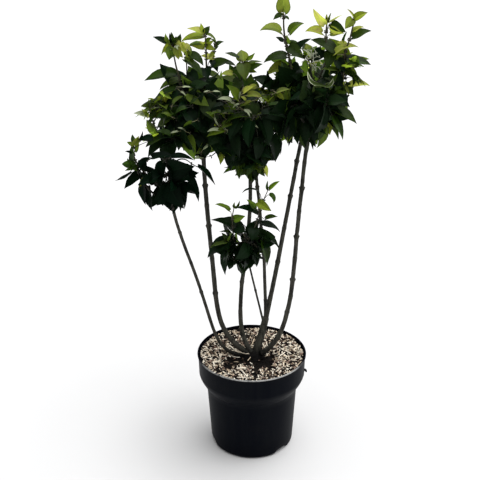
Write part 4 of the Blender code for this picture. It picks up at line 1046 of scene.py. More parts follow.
# Shoots that stand out of the crown, each with its own leaves.
# name, limb it grows from, depth, line of the shoot (u, v, depth step) from foot to tip, radius, leaves;
# a leaf is: place on the shoot, foot u, v, step, tip u, v, step, width seen, shade, arch in degrees, side its back faces
# shade 6 is the pale kind: painted glints and specks of light between the leaves
SPRAYS=[
('leader','f_up',.085,[(291,67,-.012),(288.5,54,-.006),(285.5,42,0),(283.8,28,0),(283.6,14,.002)],.0026,[
 (.98,283,12,0, 283,-8.5,.010, 13.8,1,14,'d'),(.98,284,12,.004, 288.4,-2,.030, 7.4,2,20,'r'),
 (.95,281.4,13.4,0, 273,20,-.006, 5.2,3,15,'u'),(.93,282,13,0, 280.5,19,-.004, 2.2,1,10,'l'),(.90,284.5,17.5,0, 289.2,20,-.004, 3.0,3,115,'u'),
 (.52,280.8,32,0, 259.8,30.8,-.004, 9.4,1,88,'u'),(.52,289.4,33,0, 304.4,23.6,.004, 8.4,2,96,'u'),
 (.46,283.5,41,0, 275.5,37,.002, 4.2,4,15,'u'),(.42,287.5,44,0, 286.2,35,.004, 6.5,2,20,'l'),
 (.30,289,46,0, 304,59,-.020, 12,3,45,'u'),(.22,297,50,0, 311.5,38.5,.008, 6.5,4,20,'u'),(.34,290,45,.005, 299,44,.03, 8,3,45,'u'),
 (.12,286.4,56.5,0, 263.5,63,-.004, 9.0,3,52,'u'),(.05,287.5,66,0, 266,76,-.010, 10.5,1,62,'u'),(.10,292,64,0, 299,78,-.02, 12,4,40,'r')]),
('spent_shoot','f_tipw',-.030,[(322,78,.030),(316,72,.018),(312.5,64,.006),(311,57,0)],.0013,[
 (.95,306.6,60.6,-.018, 310.0,78.0,-.026, 5.4,2,30,'l'),(.60,312,66,-.012, 316.8,73.4,-.020, 3.2,3,40,'r'),(.97,310.6,58,-.010, 303.4,49.2,-.008, 3.0,6,30,'u')]),
('right_tip_west','f_tipw',-.020,[(326.5,60,.010),(326.2,44,.002),(326.2,30,0),(327.6,19,0)],.0021,[
 (.92,325.2,24.4,0, 313.2,8.4,.004, 8.4,0,12,'d'),(.98,327.2,21,0, 327.0,13.5,.002, 2.8,1,8,'l'),(.98,328.6,21,0, 331.4,12.4,.002, 2.4,2,8,'l'),
 (.93,328.4,22.5,0, 343.4,14.6,0, 2.4,0,8,'u'),(.45,321.6,33,0, 305.2,31.6,-.003, 8.2,0,84,'u'),(.45,330.4,34,0, 344,33,-.004, 6.4,1,30,'u'),
 (.62,331.2,23.4,0, 346,32.4,-.010, 9.6,3,44,'u'),(.60,330.4,27,-.002, 344,33.4,-.014, 6.0,0,20,'d'),
 (.10,335,50,0, 310.5,39.8,-.006, 10.5,3,30,'u'),(.12,331,52,0, 327,69,-.020, 13,3,35,'l'),(.06,322,50,0, 312,62,-.01, 12,4,40,'u')]),
('right_tip_east','g_sho',-.028,[(344,60,.004),(346,50,0),(350,38,0),(353,26,0),(355,19,0)],.0021,[
 (.98,354.4,18.6,0, 367.8,12.6,0, 8.0,1,58,'u'),(.95,352.4,18.5,0, 345,29,-.010, 10.2,1,36,'l'),(.98,354,18.5,0, 346.8,8.6,.006, 1.5,1,10,'u'),
 (.44,352.2,37.6,0, 371.6,31,-.002, 8.6,3,44,'u'),(.48,352.8,31.5,0, 364.2,27.2,.006, 4.2,0,50,'u'),
 (.12,334.2,54,0, 359,47.6,-.004, 6.6,0,66,'u'),(.20,346,44.5,0, 336.5,42.5,0, 5.0,0,30,'u'),(.22,343.6,42,0, 347.4,31,.004,3.0,3,10,'l'),
 (.05,347,59.5,0, 371,65,-.006, 9.4,3,34,'u'),(.03,347,62,.002, 356.5,68.5,.0, 5.0,0,20,'u'),(.02,345,68,0, 358,80,-.008, 9.6,2,40,'u'),
 (.01,349.5,84.5,-.006, 370,86,-.010, 7.4,0,50,'u'),(.0,345,84,-.004, 353.6,95,-.008, 9.0,3,40,'u'),(.0,345,86,-.02, 348.6,96.5,-.024, 2.6,1,15,'r'),
 (.08,338,60,-.01, 345,72,-.02, 12,4,40,'r')]),
('left_tip_west','b_tipw',.037,[(179.5,78,.004),(176.5,68,0),(174.2,57,0),(172.2,45,0)],.0022,[
 (.72,175,49,0, 168.6,58.6,-.012, 8.2,1,60,'l'),(.72,174.5,48.6,0, 183.0,57.6,-.010, 8.6,1,60,'u'),(.93,176.2,41,0, 181.6,46.6,-.004, 5.2,0,30,'r'),(.84,176.2,45.8,-.012, 180.4,51.4,-.014, 3.6,6,30,'r'),(.70,171,50,-.016, 174.6,58,-.018, 4.6,2,30,'l'),(.86,166.5,43.6,0, 152.6,36.8,.003, 5.8,4,14,'u'),
 (.74,171.4,47.8,-.010, 169,60,-.018, 11,2,34,'l'),(.74,176.6,48,-.012, 178.6,59.6,-.020, 9.5,1,34,'r'),(.86,169,44,-.004, 164.6,53,-.008, 6.5,1,34,'l'),
 (.90,168.6,44,0, 165.4,33.2,.003, 5.0,2,15,'l'),(.95,174.6,44,.002, 171.6,31.8,.004, 5.4,3,12,'l'),(.97,177,44,.003, 180.4,33.2,.004, 4.6,3,12,'r'),(.96,175.6,44,.005, 176,36,.006, 6,4,10,'l'),(.99,172,42.5,0, 170.2,32,.003, 2.6,4,12,'l'),(.99,174,42.5,0, 180.2,33.8,.004, 3.2,3,20,'r'),
 (.88,168.4,45,0, 161.4,55,-.002, 4.4,1,25,'u'),(.96,171.6,47,0, 169.4,38,.008, 6.0,3,20,'l'),(.94,175,46,0, 177,37,.006, 4.6,2,15,'r'),(.90,170,47,-.004, 175,52,-.016,4,2,30,'l')]),
('left_tip_mid','b_tipw',.046,[(187.2,80,.006),(186.8,70,0),(186.2,58,0),(185,48,0)],.0018,[
 (.96,182,42.5,0, 187.2,55.2,-.006, 6.6,0,25,'l'),(.99,183.4,45.5,0, 175.6,42,0, 5.0,0,25,'u'),(.80,186,52,-.004, 190.8,61.5,-.008, 5.6,1,30,'r'),(.97,185,44,-.002,190.6,52,-.006,5.0,0,30,'r'),
 (.60,184.6,59.5,0, 203,77,-.012, 8.0,3,35,'u'),(.62,190,54,0, 203.4,66,-.010, 8.6,3,60,'u'),(.62,186,57,0, 194,66,-.02, 6.5,2,30,'u'),(.75,188,47,0,190,57,-.01,5,2,20,'r'),
 (.10,175.4,75.4,0, 144.2,80.8,-.004, 10.4,3,20,'u'),(.02,179,80,0, 159.5,90,-.010, 7.4,2,40,'u'),(.0,178,89,-.02, 155.6,98.2,-.03, 6.8,3,38,'u'),(.06,190,72,-.01,199,84,-.03,12,4,40,'r')]),
('left_tip_east','b_up',.060,[(206.6,76,.004),(206.2,60,0),(206.0,47,0),(204.8,34,0)],.0022,[
 (.95,202.8,36.4,.0, 180.6,42.2,-.002, 7.2,1,44,'u'),(.96,203,33,0, 187,28.6,.002, 5.8,0,24,'u'),(.97,203.6,33.4,0, 200.8,23,.004, 5.2,1,10,'l'),(.97,204.4,32.6,0, 209.8,26,.003, 6.4,3,25,'u'),(.90,206,41,.002, 212,37.6,.002, 4.2,2,26,'u'),(.70,204,48,.002, 190.4,46,0, 5.6,1,26,'u'),
 (.93,206,35,0, 216.2,42.5,-.004, 3.0,2,60,'u'),(.70,206,47.5,0, 207.4,39,.012, 8.0,0,20,'l'),(.70,205,46.5,0, 198.6,41,.004, 4.8,0,15,'u'),
 (.70,207,46,0, 215.6,50,-.006, 6.2,1,40,'u'),(.72,207,44.5,.002, 213.6,40.6,.002, 4.4,1,30,'u'),(.50,200.4,43.4,.004, 187.6,47.6,0, 3.8,2,62,'u'),(.35,214,58,.002, 200.4,56,.008, 6.2,0,40,'u'),
 (.12,211.4,65,0, 231,61,-.003, 9.4,3,34,'u'),(.14,224.4,61.6,0, 236,66,-.004, 4.2,3,20,'u'),(.08,211.4,60,0, 217.6,72.5,-.008, 7.4,4,35,'u'),(.02,205,68,0,208,80,-.02,12,4,35,'r'),(.02,207,73,0,222,80,-.01,6,2,30,'u')]),
('left_tip_fork','b_up',.058,[(211,68,.002),(213,58,0),(214.6,50,0),(215.4,43,0)],.0015,[
 (.98,214.8,47.8,0, 224.4,42,0, 5.2,3,96,'u'),(.98,215.4,43.5,0, 209.5,38.5,.002, 2.6,2,25,'u'),(.90,215,50,0, 219,46,.003, 2.2,3,15,'u'),(.6,214,52,0,209,58,-.006,4.5,1,30,'u')]),
('centre_tip','c_up',.052,[(241.6,108,.012),(241,94,.008),(241.6,79,.003),(243,62,0)],.0024,[
 (.99,243,61.4,0, 241.2,49.8,.026, 13.2,1,20,'l'),(.97,238.4,58.4,0, 224.2,53,0, 3.6,3,22,'u'),(.97,246.6,60,0, 255,52.6,0, 4.2,2,12,'d'),
 (.90,243,63,0, 245.6,81,-.028, 14.6,2,30,'r'),(.86,239,68,0, 230.6,69.4,0, 4.2,3,20,'u'),(.86,247.4,69.6,0, 263,64,0, 7.6,3,24,'u'),(.80,246,71,0, 257,72.4,-.004, 5.4,2,24,'u'),(.84,248.6,64.4,.004, 262,61.8,.006, 2.2,2,20,'u'),
 (.50,232.4,73,0, 220.8,74.4,-.003, 6.2,0,40,'u'),(.45,236,82,0, 219.4,77,-.002, 6.4,2,20,'u'),(.50,240,80,0,233,90,-.02,12,3,30,'l'),
 (.30,256.4,86,0, 245.8,92.6,-.006, 6.2,0,45,'u'),(.28,264,89,0, 258.4,98.4,-.010, 8.6,1,35,'r'),(.20,291,88,0, 274.4,97.6,-.012, 9.0,1,40,'u'),
 (.34,271.4,88,0, 251.8,77.6,0, 11.5,4,60,'u'),(.15,232.4,101,0, 215.8,98.2,0, 4.6,3,20,'u'),(.10,240,104,0,228,112,-.02,11,3,40,'u')]),
('side_shoot','b_side',.020,[(159,134,.004),(154,124,0),(150.4,114,0),(149.6,104,0)],.0018,[
 (.70,167.6,105,.004, 140.3,107,0, 5.2,3,62,'u'),(.98,150,107.5,0, 148.8,98.8,.002, 3.2,2,8,'l'),(.60,147.8,117.4,0, 141.2,108.8,.002, 4.6,0,20,'u'),
 (.58,146.6,115.4,0, 133.4,113.4,-.002, 6.0,6,30,'u'),(.62,152,107.6,-.002, 168.2,107,0, 4.4,6,20,'u'),(.40,151.4,116,0, 171,110,-.003, 7.6,2,40,'u'),
 (.20,155.2,131,-.002, 144.6,127.8,0, 3.6,0,20,'u'),(.22,154,128,-.003, 147,131.4,-.006, 2.6,1,15,'u'),(.34,151,120,0, 146,126,-.004,3,3,20,'l'),(.50,151.5,112,0,158,119,-.01,6,3,30,'r')]),
('low_left_shoot','a_side',-.085,[(146,175,0),(138,165,0),(133.2,153,0),(134.6,141.5,0)],.0020,[
 (.96,134,142,0, 132.2,134.2,.002, 5.0,3,10,'l'),(.95,135,143,0, 139,135.8,.002, 4.6,1,10,'r'),(.92,138.6,139.4,0, 130.8,146.8,-.004, 6.0,1,30,'u'),(.90,137,142,0, 142.8,130.8,.003, 3.2,4,12,'r'),
 (.84,134,145.2,0, 126.6,142,0, 4.6,2,20,'u'),(.62,131.6,153,0, 124.8,151.4,0, 2.8,4,30,'u'),(.80,152.5,138.6,.004, 138.2,140.4,0, 7.4,4,34,'u'),
 (.44,131.4,164.4,0, 121.8,164,0, 8.0,3,90,'u'),(.34,138.4,169.4,0, 124.6,171,-.002, 4.8,3,34,'u'),(.34,130.4,171.4,-.002, 114.8,180.8,-.004, 2.8,4,6,'d'),
 (.10,141.4,173,0, 124.2,189,-.008, 10.4,4,22,'u'),(.06,147,177,0, 139.4,187.4,-.006, 6.4,1,30,'u'),(.04,143,184,0, 145.8,205,-.006, 7.0,4,24,'l'),
 (.02,149,186,0, 152.6,211,-.010, 8.4,4,28,'l'),(.30,141,160,0,146,172,-.01,9,4,30,'r'),
 (.44,135.6,166,.001, 132.8,147,0, 6.0,3,12,'l'),(.60,134.6,152,.001, 137,139,0, 4.4,2,14,'r'),(.60,133,161,-.002, 134,142.6,-.002, 5.2,3,10,'l'),(.30,138,166.5,.002, 151,157.2,-.002, 6.6,4,30,'u'),
 (.28,136,168.5,.002, 127,158,0, 5.4,3,26,'l')]),
('low_left_head','a_up',-.095,None,.0016,[
 (0,160,188,0, 163,206,-.008, 11.5,4,28,'l'),(0,169,189,-.004, 170.5,210,-.010, 9.5,4,24,'l'),(0,176,186,0, 180.2,212,-.006, 9.6,4,26,'r'),
 (0,152,157.5,0, 174,156.5,.002, 7.0,4,34,'u'),(0,172,158,0, 194.6,160.6,-.004, 6.4,4,30,'u'),(0,181,167,.01, 193.6,186.4,-.004, 13,4,60,'u'),
 (0,197.4,167.2,.02, 215.4,185.6,.012, 5.2,4,12,'u'),(0,188.4,179,.006, 198.6,202,0, 7.0,4,14,'r'),(0,180,187,.002, 184.6,209,-.004, 7.4,4,18,'r'),
 (0,163,163,-.012, 160.6,187,-.018, 11,4,34,'l'),(0,172,165,-.014, 176,190,-.020, 11,4,34,'r')]),
('skirt','e_up',-.040,None,.0016,[
 (0,207,146,.01, 205.4,157.4,.004, 9.0,4,30,'l'),(0,225.2,150,0, 220.4,165,-.006, 6.4,1,26,'l'),(0,221,146,.01, 219.4,160,.004, 7.4,3,24,'l'),
 (0,232,146,-.01, 231,170.4,-.016, 12.4,4,30,'l'),(0,237,168,0, 223.2,173.6,-.006, 5.0,3,30,'u'),(0,243,161,-.02, 239.2,179.4,-.026, 9.2,3,24,'l'),
 (0,250,158,0, 252,183.6,-.004, 10.4,3,24,'r'),(0,260,164,0, 267.4,177.4,-.004, 6.2,0,24,'r'),(0,262,147,-.01, 264,169,-.014, 10.4,4,26,'r'),
 (0,272,136,0, 275,162.4,-.006, 11.4,4,30,'r'),(0,279,139,.01, 280.4,155,.008, 1.5,4,10,'r'),(0,224,130,-.02, 206.4,137.2,-.026, 6.6,2,40,'u'),
 (0,231,123,-.02, 221,128.6,-.026, 5.6,2,30,'u'),(0,204,157,.01, 193.6,159,.006, 4.4,6,20,'u'),(0,203,149.6,0, 213.4,144,.0, 2.4,6,30,'u'),
 (0,240,120,-.022, 230,142,-.034, 12,4,40,'l'),(0,252,121,-.026, 249,148,-.040, 13,4,36,'l'),(0,262,120,-.024, 268,146,-.036, 12.5,4,36,'r'),
 (0,274,118,-.018, 282,140,-.028, 11,4,40,'r'),(0,236,134,-.024, 240,158,-.034, 11,4,30,'l'),(0,258,138,-.026, 256,162,-.036, 11,4,30,'r'),(0,247,117,-.016, 224,124,-.024, 6,3,40,'u'),
 (0,262,114,-.020, 288,120,-.028, 7,4,50,'u')]),
('centre_inner','c_up',-.050,None,.0010,[
 (0,243.5,92.5,0, 254.6,86.4,-.004, 5.4,0,35,'u'),(0,248,95,.004, 262.6,97.6,-.002, 6.4,1,60,'u'),(0,231,101.6,0, 217,99.6,-.004, 4.4,6,44,'u'),
 (0,239,104,0, 232.6,108.6,-.004, 2.2,6,40,'u'),(0,244,110,-.004, 250,117,-.008, 2.4,6,35,'r'),(0,240,107,0, 251,105,-.004, 3.0,2,50,'u'),
 (0,233,111.6,-.002, 219,113.6,-.006, 3.0,3,50,'u'),(0,222,113,-.006, 208.6,116.4,-.010, 3.4,2,50,'u'),(0,237,117,-.004, 229,122,-.008, 2.6,2,40,'u'),
 (0,231,122.4,-.006, 223,129,-.012, 3.4,3,40,'l'),(0,220,131,-.010, 207,132.0,-.014, 3.4,6,45,'u'),(0,277,113.6,0, 289,116,-.006, 2.8,3,55,'u'),
 (0,281.6,110,.004, 279.8,117,0, 1.8,6,30,'r'),(0,269,105,.002, 284,106.4,-.004, 4.0,3,55,'u'),(0,246,99.6,.002, 240.4,96.4,0, 3.0,0,30,'u'),
 (0,277,92,.002, 290.4,89.6,-.002, 4.8,1,40,'u'),(0,278,94,.0, 284,99.6,-.004, 5.2,1,40,'r'),(0,224,106,.0,212,108.6,-.006,3.6,4,50,'u'),
 (0,231,103,.002, 238.6,108.4,0, 1.7,6,30,'u'),(0,241,127.6,-.006, 250,126,-.008, 1.9,6,20,'u'),(0,253.6,125.4,-.004, 258.6,128.4,-.006, 1.8,6,20,'u'),
 (0,223,127.4,-.006, 229,132.8,-.008, 1.8,6,20,'u'),(0,231.4,130,-.006, 226,134.6,-.008, 1.6,6,20,'u'),(0,259.6,98.6,.002, 263.4,102.8,0, 2.6,6,30,'u'),
 (0,245,110.4,.002, 252,113.6,0, 2.8,6,40,'u'),(0,215,117.6,-.004, 219.4,126.6,-.006, 2.2,6,20,'l'),(0,281,112,.002, 284.4,118.6,0, 1.4,6,16,'r'),
 (0,278,121,-.002, 278.6,128.2,-.004, 1.4,6,12,'r'),(0,241.4,92,.002, 239,100,0, 1.6,6,14,'l'),(0,224,113.4,0, 233,112.6,-.002, 1.6,6,20,'u'),
 (0,238,99.4,.003, 225.4,84.6,0, 8.4,2,34,'u'),(0,213,117,-.002, 205,112,-.006, 4.0,2,36,'u'),(0,222,124.4,-.004, 231.4,121.4,-.008, 3.8,2,36,'u'),
 (0,224,117,0, 215,110.4,-.004, 3.8,2,36,'u'),(0,213,91.6,.004, 220.6,92.2,.002, 1.5,6,20,'u'),(0,251,101,.0, 243,105.6,-.004, 3.2,1,40,'u')]),
('left_inner','b_up',-.030,None,.0010,[
 (0,204,92.6,.002, 210.6,91,0, 1.7,6,20,'u'),(0,183,86.6,0, 191.4,87.6,-.002, 2.2,6,30,'u'),(0,178,131.4,-.020, 170,133.4,-.022, 2.0,6,20,'u'),
 (0,173,104,0, 183.6,96,-.004, 4.2,2,36,'u'),(0,181,91.6,.002, 186,96,0, 2.0,6,20,'u'),(0,186,108,-.006, 175,113.6,-.012, 4.4,3,40,'u'),
 (0,192,122,-.010, 183,127.4,-.014, 3.8,2,40,'u'),(0,171,116.6,-.004, 161,113,-.008, 3.2,2,36,'u'),(0,185,131,-.018, 177,127.6,-.022, 2.2,6,26,'u'),
 (0,196,99,0, 189.6,105.6,-.004, 3.2,3,36,'l')]),
('right_fringe','g_up',-.055,None,.0018,[
 (0,333,97,-.01, 349.8,107.2,-.016, 10,4,34,'u'),(0,334,110,0, 356.8,124,-.008, 10,3,30,'u'),(0,333,116,-.01, 342.8,140.2,-.016, 8.2,3,24,'r'),
 (0,331,121,0, 330,135.6,-.004, 6.2,1,22,'l'),(0,323,126,-.01, 316.4,148.4,-.014, 9.2,2,24,'r'),(0,316,130,0, 313.4,150.4,-.004, 6.2,4,20,'l'),
 (0,299,126,.02, 298,144.6,.016, 8.4,4,24,'l'),(0,307,120,0, 306,147.6,-.004, 12,4,24,'l'),(0,287,124,.05, 288.5,146.6,.046, 8.4,4,24,'r')]),
('low_west_shoot','d_up',-.090,[(235,242,.002),(232.8,229,0),(232.2,218,0),(234.2,207,0)],.0017,[
 (.98,234.8,208,0, 239.8,200.2,.002, 2.7,3,12,'r'),(.98,234.2,208,0, 234.6,202,.002, 2.7,2,10,'l'),(.60,229.6,210.4,0, 214.8,204.4,0, 4.6,2,44,'u'),
 (.60,234,219,0, 245.4,216,-.006, 8.2,2,40,'u'),(.36,231,226.5,0, 210.6,220,.002, 7.0,4,26,'u'),(.16,231,234.2,0, 219,232,-.002, 2.3,3,32,'u'),
 (.05,230,239.6,0, 207.6,258,-.008, 13,4,50,'u'),(.03,229,241,-.004, 227,262.6,-.010, 8.2,3,22,'l'),(.0,234.6,243,-.008, 225.4,275.6,-.016, 12,4,34,'l'),
 (.0,242,248,-.006, 238.4,271.4,-.010, 7.2,4,20,'l'),(.40,236,227,0,246,232,-.02,12,4,40,'u')]),
('low_east_shoot','d_up',-.085,[(250,238,0),(256.6,222,-.001),(262,204,0),(268,190,0)],.0015,[
 (.98,268.5,190,0, 268,180.2,.003, 2.4,3,6,'l'),(.98,269.4,189.2,0, 280,181,.002, 4.2,2,20,'u'),(.76,269,194.8,0, 273,203.2,-.004, 4.8,3,125,'u'),
 (.62,258.4,191.6,.010, 241.8,193.6,.006, 1.9,4,84,'u'),(.60,258,202,-.004, 271.4,211,-.012, 9.2,1,40,'u'),(.56,255.6,208.6,0, 246.4,199.4,.004, 5.0,2,20,'u'),
 (.50,257,214,0, 235.8,208,0, 6.6,4,46,'u'),(.44,265.5,219,0, 278.2,217,-.002, 5.2,3,36,'u'),(.36,261,223,0, 280.2,232.6,-.006, 6.6,4,58,'u'),
 (.16,261,233,0, 279.4,250.4,-.008, 6.6,4,44,'u'),(.10,262,240,-.006, 266.6,266.6,-.012, 9.2,3,24,'r'),(.06,252,246,-.01, 256.6,267.4,-.016, 9.4,4,28,'r'),
 (.04,247,245,-.012, 247.6,264,-.02, 9.6,4,28,'l'),(.30,254,228,-.01,252,241,-.03,12,4,40,'l')]),
]


def canon(be):
    ang=be*T_ST**1.15; dt=np.diff(T_ST,prepend=0.0)
    return (np.cos(ang)*dt).sum(), -(np.sin(ang)*dt).sum()


def grow_sprays(P):
    for name,limb,y0,line,rad,leaves in SPRAYS:
        rng=np.random.RandomState(sum(map(ord,name)))
        ctrl=INNER[limb][0]
        pts=None
        if line:
            q=[at(u,v,y0+dy) for u,v,dy in line]
            foot,td=near_on(ctrl,q[0])
            q0=[foot]+q
            # smooth curve through the points
            pts=spline(q0,6)
            P.twigs.append((pts,np.linspace(rad*1.15,rad*.62,len(pts)),1,name))
            core=spline(q,8)
        arms=[]
        if name.endswith('_inner'):
            # a few arms leave the limb, each with the small twigs of the leaves nearest to it
            own=np.random.RandomState(sum(map(ord,name))+1)
            feet=np.array([at(l[1],l[2],y0+l[3]) for l in leaves])
            seeds=[feet.mean(0)]
            while len(seeds)<6:
                seeds.append(feet[int(np.argmax(np.min([np.linalg.norm(feet-q,axis=1) for q in seeds],axis=0)))])
            near=np.argmin([np.linalg.norm(feet-q,axis=1) for q in seeds],axis=0)
            for g in range(len(seeds)):
                if not (near==g).any(): continue
                end=feet[near==g].mean(0)+np.array([0,.022,-.008])
                hub,ax=near_on(ctrl,end+np.array([0,.03,-.03]))
                arm=[hub,hub*.62+end*.38+np.array([own.uniform(-.012,.012),.0,-.010]),hub*.25+end*.75+np.array([own.uniform(-.01,.01),.0,-.010]),end]
                arms.append(arm)
                P.twigs.append((bezier(arm,np.linspace(0,1,9)),np.linspace(.0019,.0012,9),0,name))
                for t in (.20,.36,.52,.68,.84):
                    here,ahead=bezier(arm,[t,t+.05])
                    along=unit(ahead-here); side=turn(unit(np.cross(along,UP)),along,own.uniform(-.5,.5)+(math.pi/2 if own.rand()<.3 else 0))
                    for radial in (side,-side):
                        P.leaf(here,along,radial,own.uniform(.040,.054),.8,own.choice([3,4,4]),44,own,False,name+'_arm')
        for (s,bu,bv,bd,tu,tv,td_,w,tint,arch,k) in leaves:
            B=at(bu,bv,y0+bd); T=at(tu,tv,y0+td_)
            chord=T-B; cl=np.linalg.norm(chord); cd=chord/cl
            eye=unit(EYE-B)
            e=np.cross(eye,cd)               # in the picture's plane, across the chord
            e=unit(e-e.dot(cd)*cd)
            du={'u':UP,'d':-UP,'l':np.array([-1.,0,0]),'r':np.array([1.,0,0])}[k]
            if e.dot(du)<0: e=-e
            f=unit(np.cross(cd,e)); 
            if f.dot(eye)<0: f=-f
            be=math.radians(arch)
            X,Z=canon(be); r=math.hypot(X,Z); phi=math.atan2(-Z,X)
            L=cl/r
            ppx=FOCAL/np.linalg.norm(EYE-B)
            fold=math.radians(rng.uniform(14,34))
            W=.66*L*rng.uniform(.94,1.06)
            wm=w/ppx
            c=wm/(W*math.cos(fold))
            if c>1: W=min(wm/math.cos(fold),.92*L); c=1.0
            sn=math.sqrt(max(0,1-c*c))
            n=unit(e*sn+f*c)
            # swing the foot up by phi so that the arched blade ends on the tip
            d=unit(cd*math.cos(phi)+n*math.sin(phi)); n2=unit(n*math.cos(phi)-cd*math.sin(phi))
            P.leaves.append(dict(p=B,d=d,n=n2,L=L,W=W,bend=be,fold=fold,curl=rng.uniform(0,.3),twist=math.radians(rng.uniform(-8,8)),
                                 wave=rng.uniform(0,.03),phase=rng.uniform(0,6.28),tint=tint,owner=name))
            if line:
                i=int(round(s*(len(core)-1))); node=core[i]; ax=unit(core[min(i+1,len(core)-1)]-core[max(i-1,0)])
            else:
                hub,ax=near_on(ctrl,B+np.array([0,.01,.02])); back=unit(hub-B)
                node=B-d*.012+back*.004
                mid=(hub+node)/2+np.array([0,.045,.010])
                if arms:
                    hub,ax=min([near_on(arm,B) for arm in arms],key=lambda h:np.linalg.norm(h[0]-B))
                    mid=(hub+node)/2+np.array([0,.004,.004])
                P.twigs.append((bezier([hub,mid,node],np.linspace(0,1,7)),np.linspace(rad,rad*.7,7),0,name))
                ax=unit(node-mid)
            gap=np.linalg.norm(B-node)
            P.petioles.append((node,node+unit(ax*.4+unit(B-node))*gap*.35,B-d*gap*.3,B,L,tint))
            P.buds.append((node,ax,.0017))

SIZES = (0.86, 1.0, 1.16)


def grow_cluster(P, index, spec):
    """Shoots spread evenly round a limb by the golden angle, each reaching to the edge of its cluster."""
    name, limb, cen, half, cnt, pairs, size, tint, droop = spec
    ctrl = INNER[limb][0]
    cen, half = np.array(cen), np.array(half)
    for i, (seed, step, fat) in enumerate(SHOOTS[name]):
        r = np.random.RandomState(seed)
        g = i * 2.39996 + index * 0.7
        z = 0.92 * (1 - 2 * (i + .5) / cnt)
        rr = math.sqrt(1 - z * z)
        d = unit(np.array([rr * math.cos(g), rr * math.sin(g), z]) + r.normal(0, .16, 3))
        u = min(max(.25 + .7 * (z * .5 + .5) + r.uniform(-.1, .1), .12), 1.0)
        b = bezier(ctrl, [max(u - .02, 0), u])
        p0, t0 = b[1], b[1] - b[0]
        inset = size * r.uniform(.45, .80)
        rad = np.linalg.norm(d * half)
        tip = cen + d * half * max((rad - inset) / rad, .12)
        d0 = unit(unit(t0) * .8 + unit(tip - p0))
        drp = droop * (1.0 if d[2] < 0.2 else .75) * r.uniform(.8, 1.15)
        P.shoot(p0, d0, tip, seed + 5, pairs, size * r.uniform(.90, 1.08) * SIZES[fat], tint + step, drp, first=.35,
                lift=.55 if d[2] > -.2 else .1, owner=name)


def grow_tip(P, spec):
    name, b, t, pairs, size, tint, droop, first, rad = spec
    seed, step, fat = SHOOTS[name][0]
    p0, p1 = at(*b), at(*t)
    P.shoot(p0, unit(p1 - p0) * .4 + UP * .6, p1, seed, pairs, size * SIZES[fat], tint + step, droop, young=True, first=first,
            radius=rad, lift=.8, owner=name, jit=.0015)


def grow_plant():
    P = Plant()
    grow_sprays(P)
    for index, spec in enumerate(CLUST):
        grow_cluster(P, index, spec)
    for spec in TIPS:
        grow_tip(P, spec)
    return P


# ------------------------------------------------------------------ what grows
CAD_BOUGHS = ["leader", "bough_right_tip_west", "bough_right_tip_east", "bough_left_tip_west", "bough_left_tip_east",
              "bough_centre_tip", "bough_low_centre_west", "bough_low_centre_east"]
MASSES = ["left_crown", "right_crown", "right_front", "low_left_head", "centre_crown", "centre_skirt", "low_centre_head", "centre_left",
          "left_under", "right_under", "right_top", "right_shoulder", "left_tip_west", "left_tip_east", "centre_tip", "right_tip_west",
          "right_tip_east", "leader_tip", "leader_waist", "left_side_spray", "low_left_spray", "low_centre_west", "low_centre_east",
          "left_back", "centre_back", "right_back"]


def make_limbs(mat):
    """The limbs inside the crown."""
    soup = Soup()
    for i, (name, (controls, r0, r1)) in enumerate(INNER.items()):
        path, run = even(bezier(controls, np.linspace(0, 1, 50)), 0.0025)
        rng = np.random.RandomState(300 + i)
        pairs = [(s, rng.uniform(0, math.pi), 0.8) for s in np.arange(0.02, run[-1] - 0.005, 0.034)]
        n = len(INNER)
        soup.tube(path, np.linspace(r0, r1, len(path)), 14, tile=(i / n, 0.0, (i + 0.92) / n, 1.0), relief=bark_relief(200 + i, pairs, (r0 + r1) / 2))
    soup.build("limbs_bark", mat, "bark", *CAD_BOUGHS)


def make_twigs(plant, mats):
    woody, young = Soup(), Soup()
    rng = np.random.RandomState(8)
    for points, radii, kind, _ in plant.twigs:
        u, v = rng.randint(0, 8, 2) / 8.0
        line = spline(points, 2) if len(points) < 14 else points
        r = np.interp(np.linspace(0, 1, len(line)), np.linspace(0, 1, len(radii)), radii)
        (young if kind else woody).tube(line, r, 8 if kind else 7, tile=(u, v, u + 0.115, v + 0.115))
    woody.build("twigs", mats["twig"], "bark")
    young.build("young_shoots", mats["shoot"], "bark")
    stalks = {True: Soup(), False: Soup()}
    for *route, size, tint in plant.petioles:
        line = bezier(route, np.linspace(0, 1, 6))
        r = 0.00035 + size * 0.0125
        u, v = rng.randint(0, 8, 2) / 8.0
        stalks[tint <= 2 or tint == 6].tube(line, np.linspace(r * 1.25, r * 0.8, 6), 5, tile=(u, v, u + 0.115, v + 0.115), tip=False, foot=False)
    stalks[True].build("leaf_stalks_young", mats["stalk_young"], "young_foliage")
    stalks[False].build("leaf_stalks", mats["stalk"], "foliage")
    buds = Soup()
    for node, axis, size in plant.buds:
        side = unit(np.cross(axis, [0.3, 0.9, 0.1]))
        for s in (1, -1):
            d = unit(axis * 0.75 + side * s)
            base = node + side * s * size * 0.6
            prof = np.array([0.15, 0.8, 1.0, 0.75, 0.05])
            pts = base + d * (np.linspace(0, 1, 5) * size * 2.6)[:, None]
            u, v = rng.randint(0, 8, 2) / 8.0
            buds.tube(pts, prof * size, 6, tile=(u, v, u + 0.115, v + 0.115), tip=False, foot=False)
    buds.build("buds", mats["bud"], "bark")


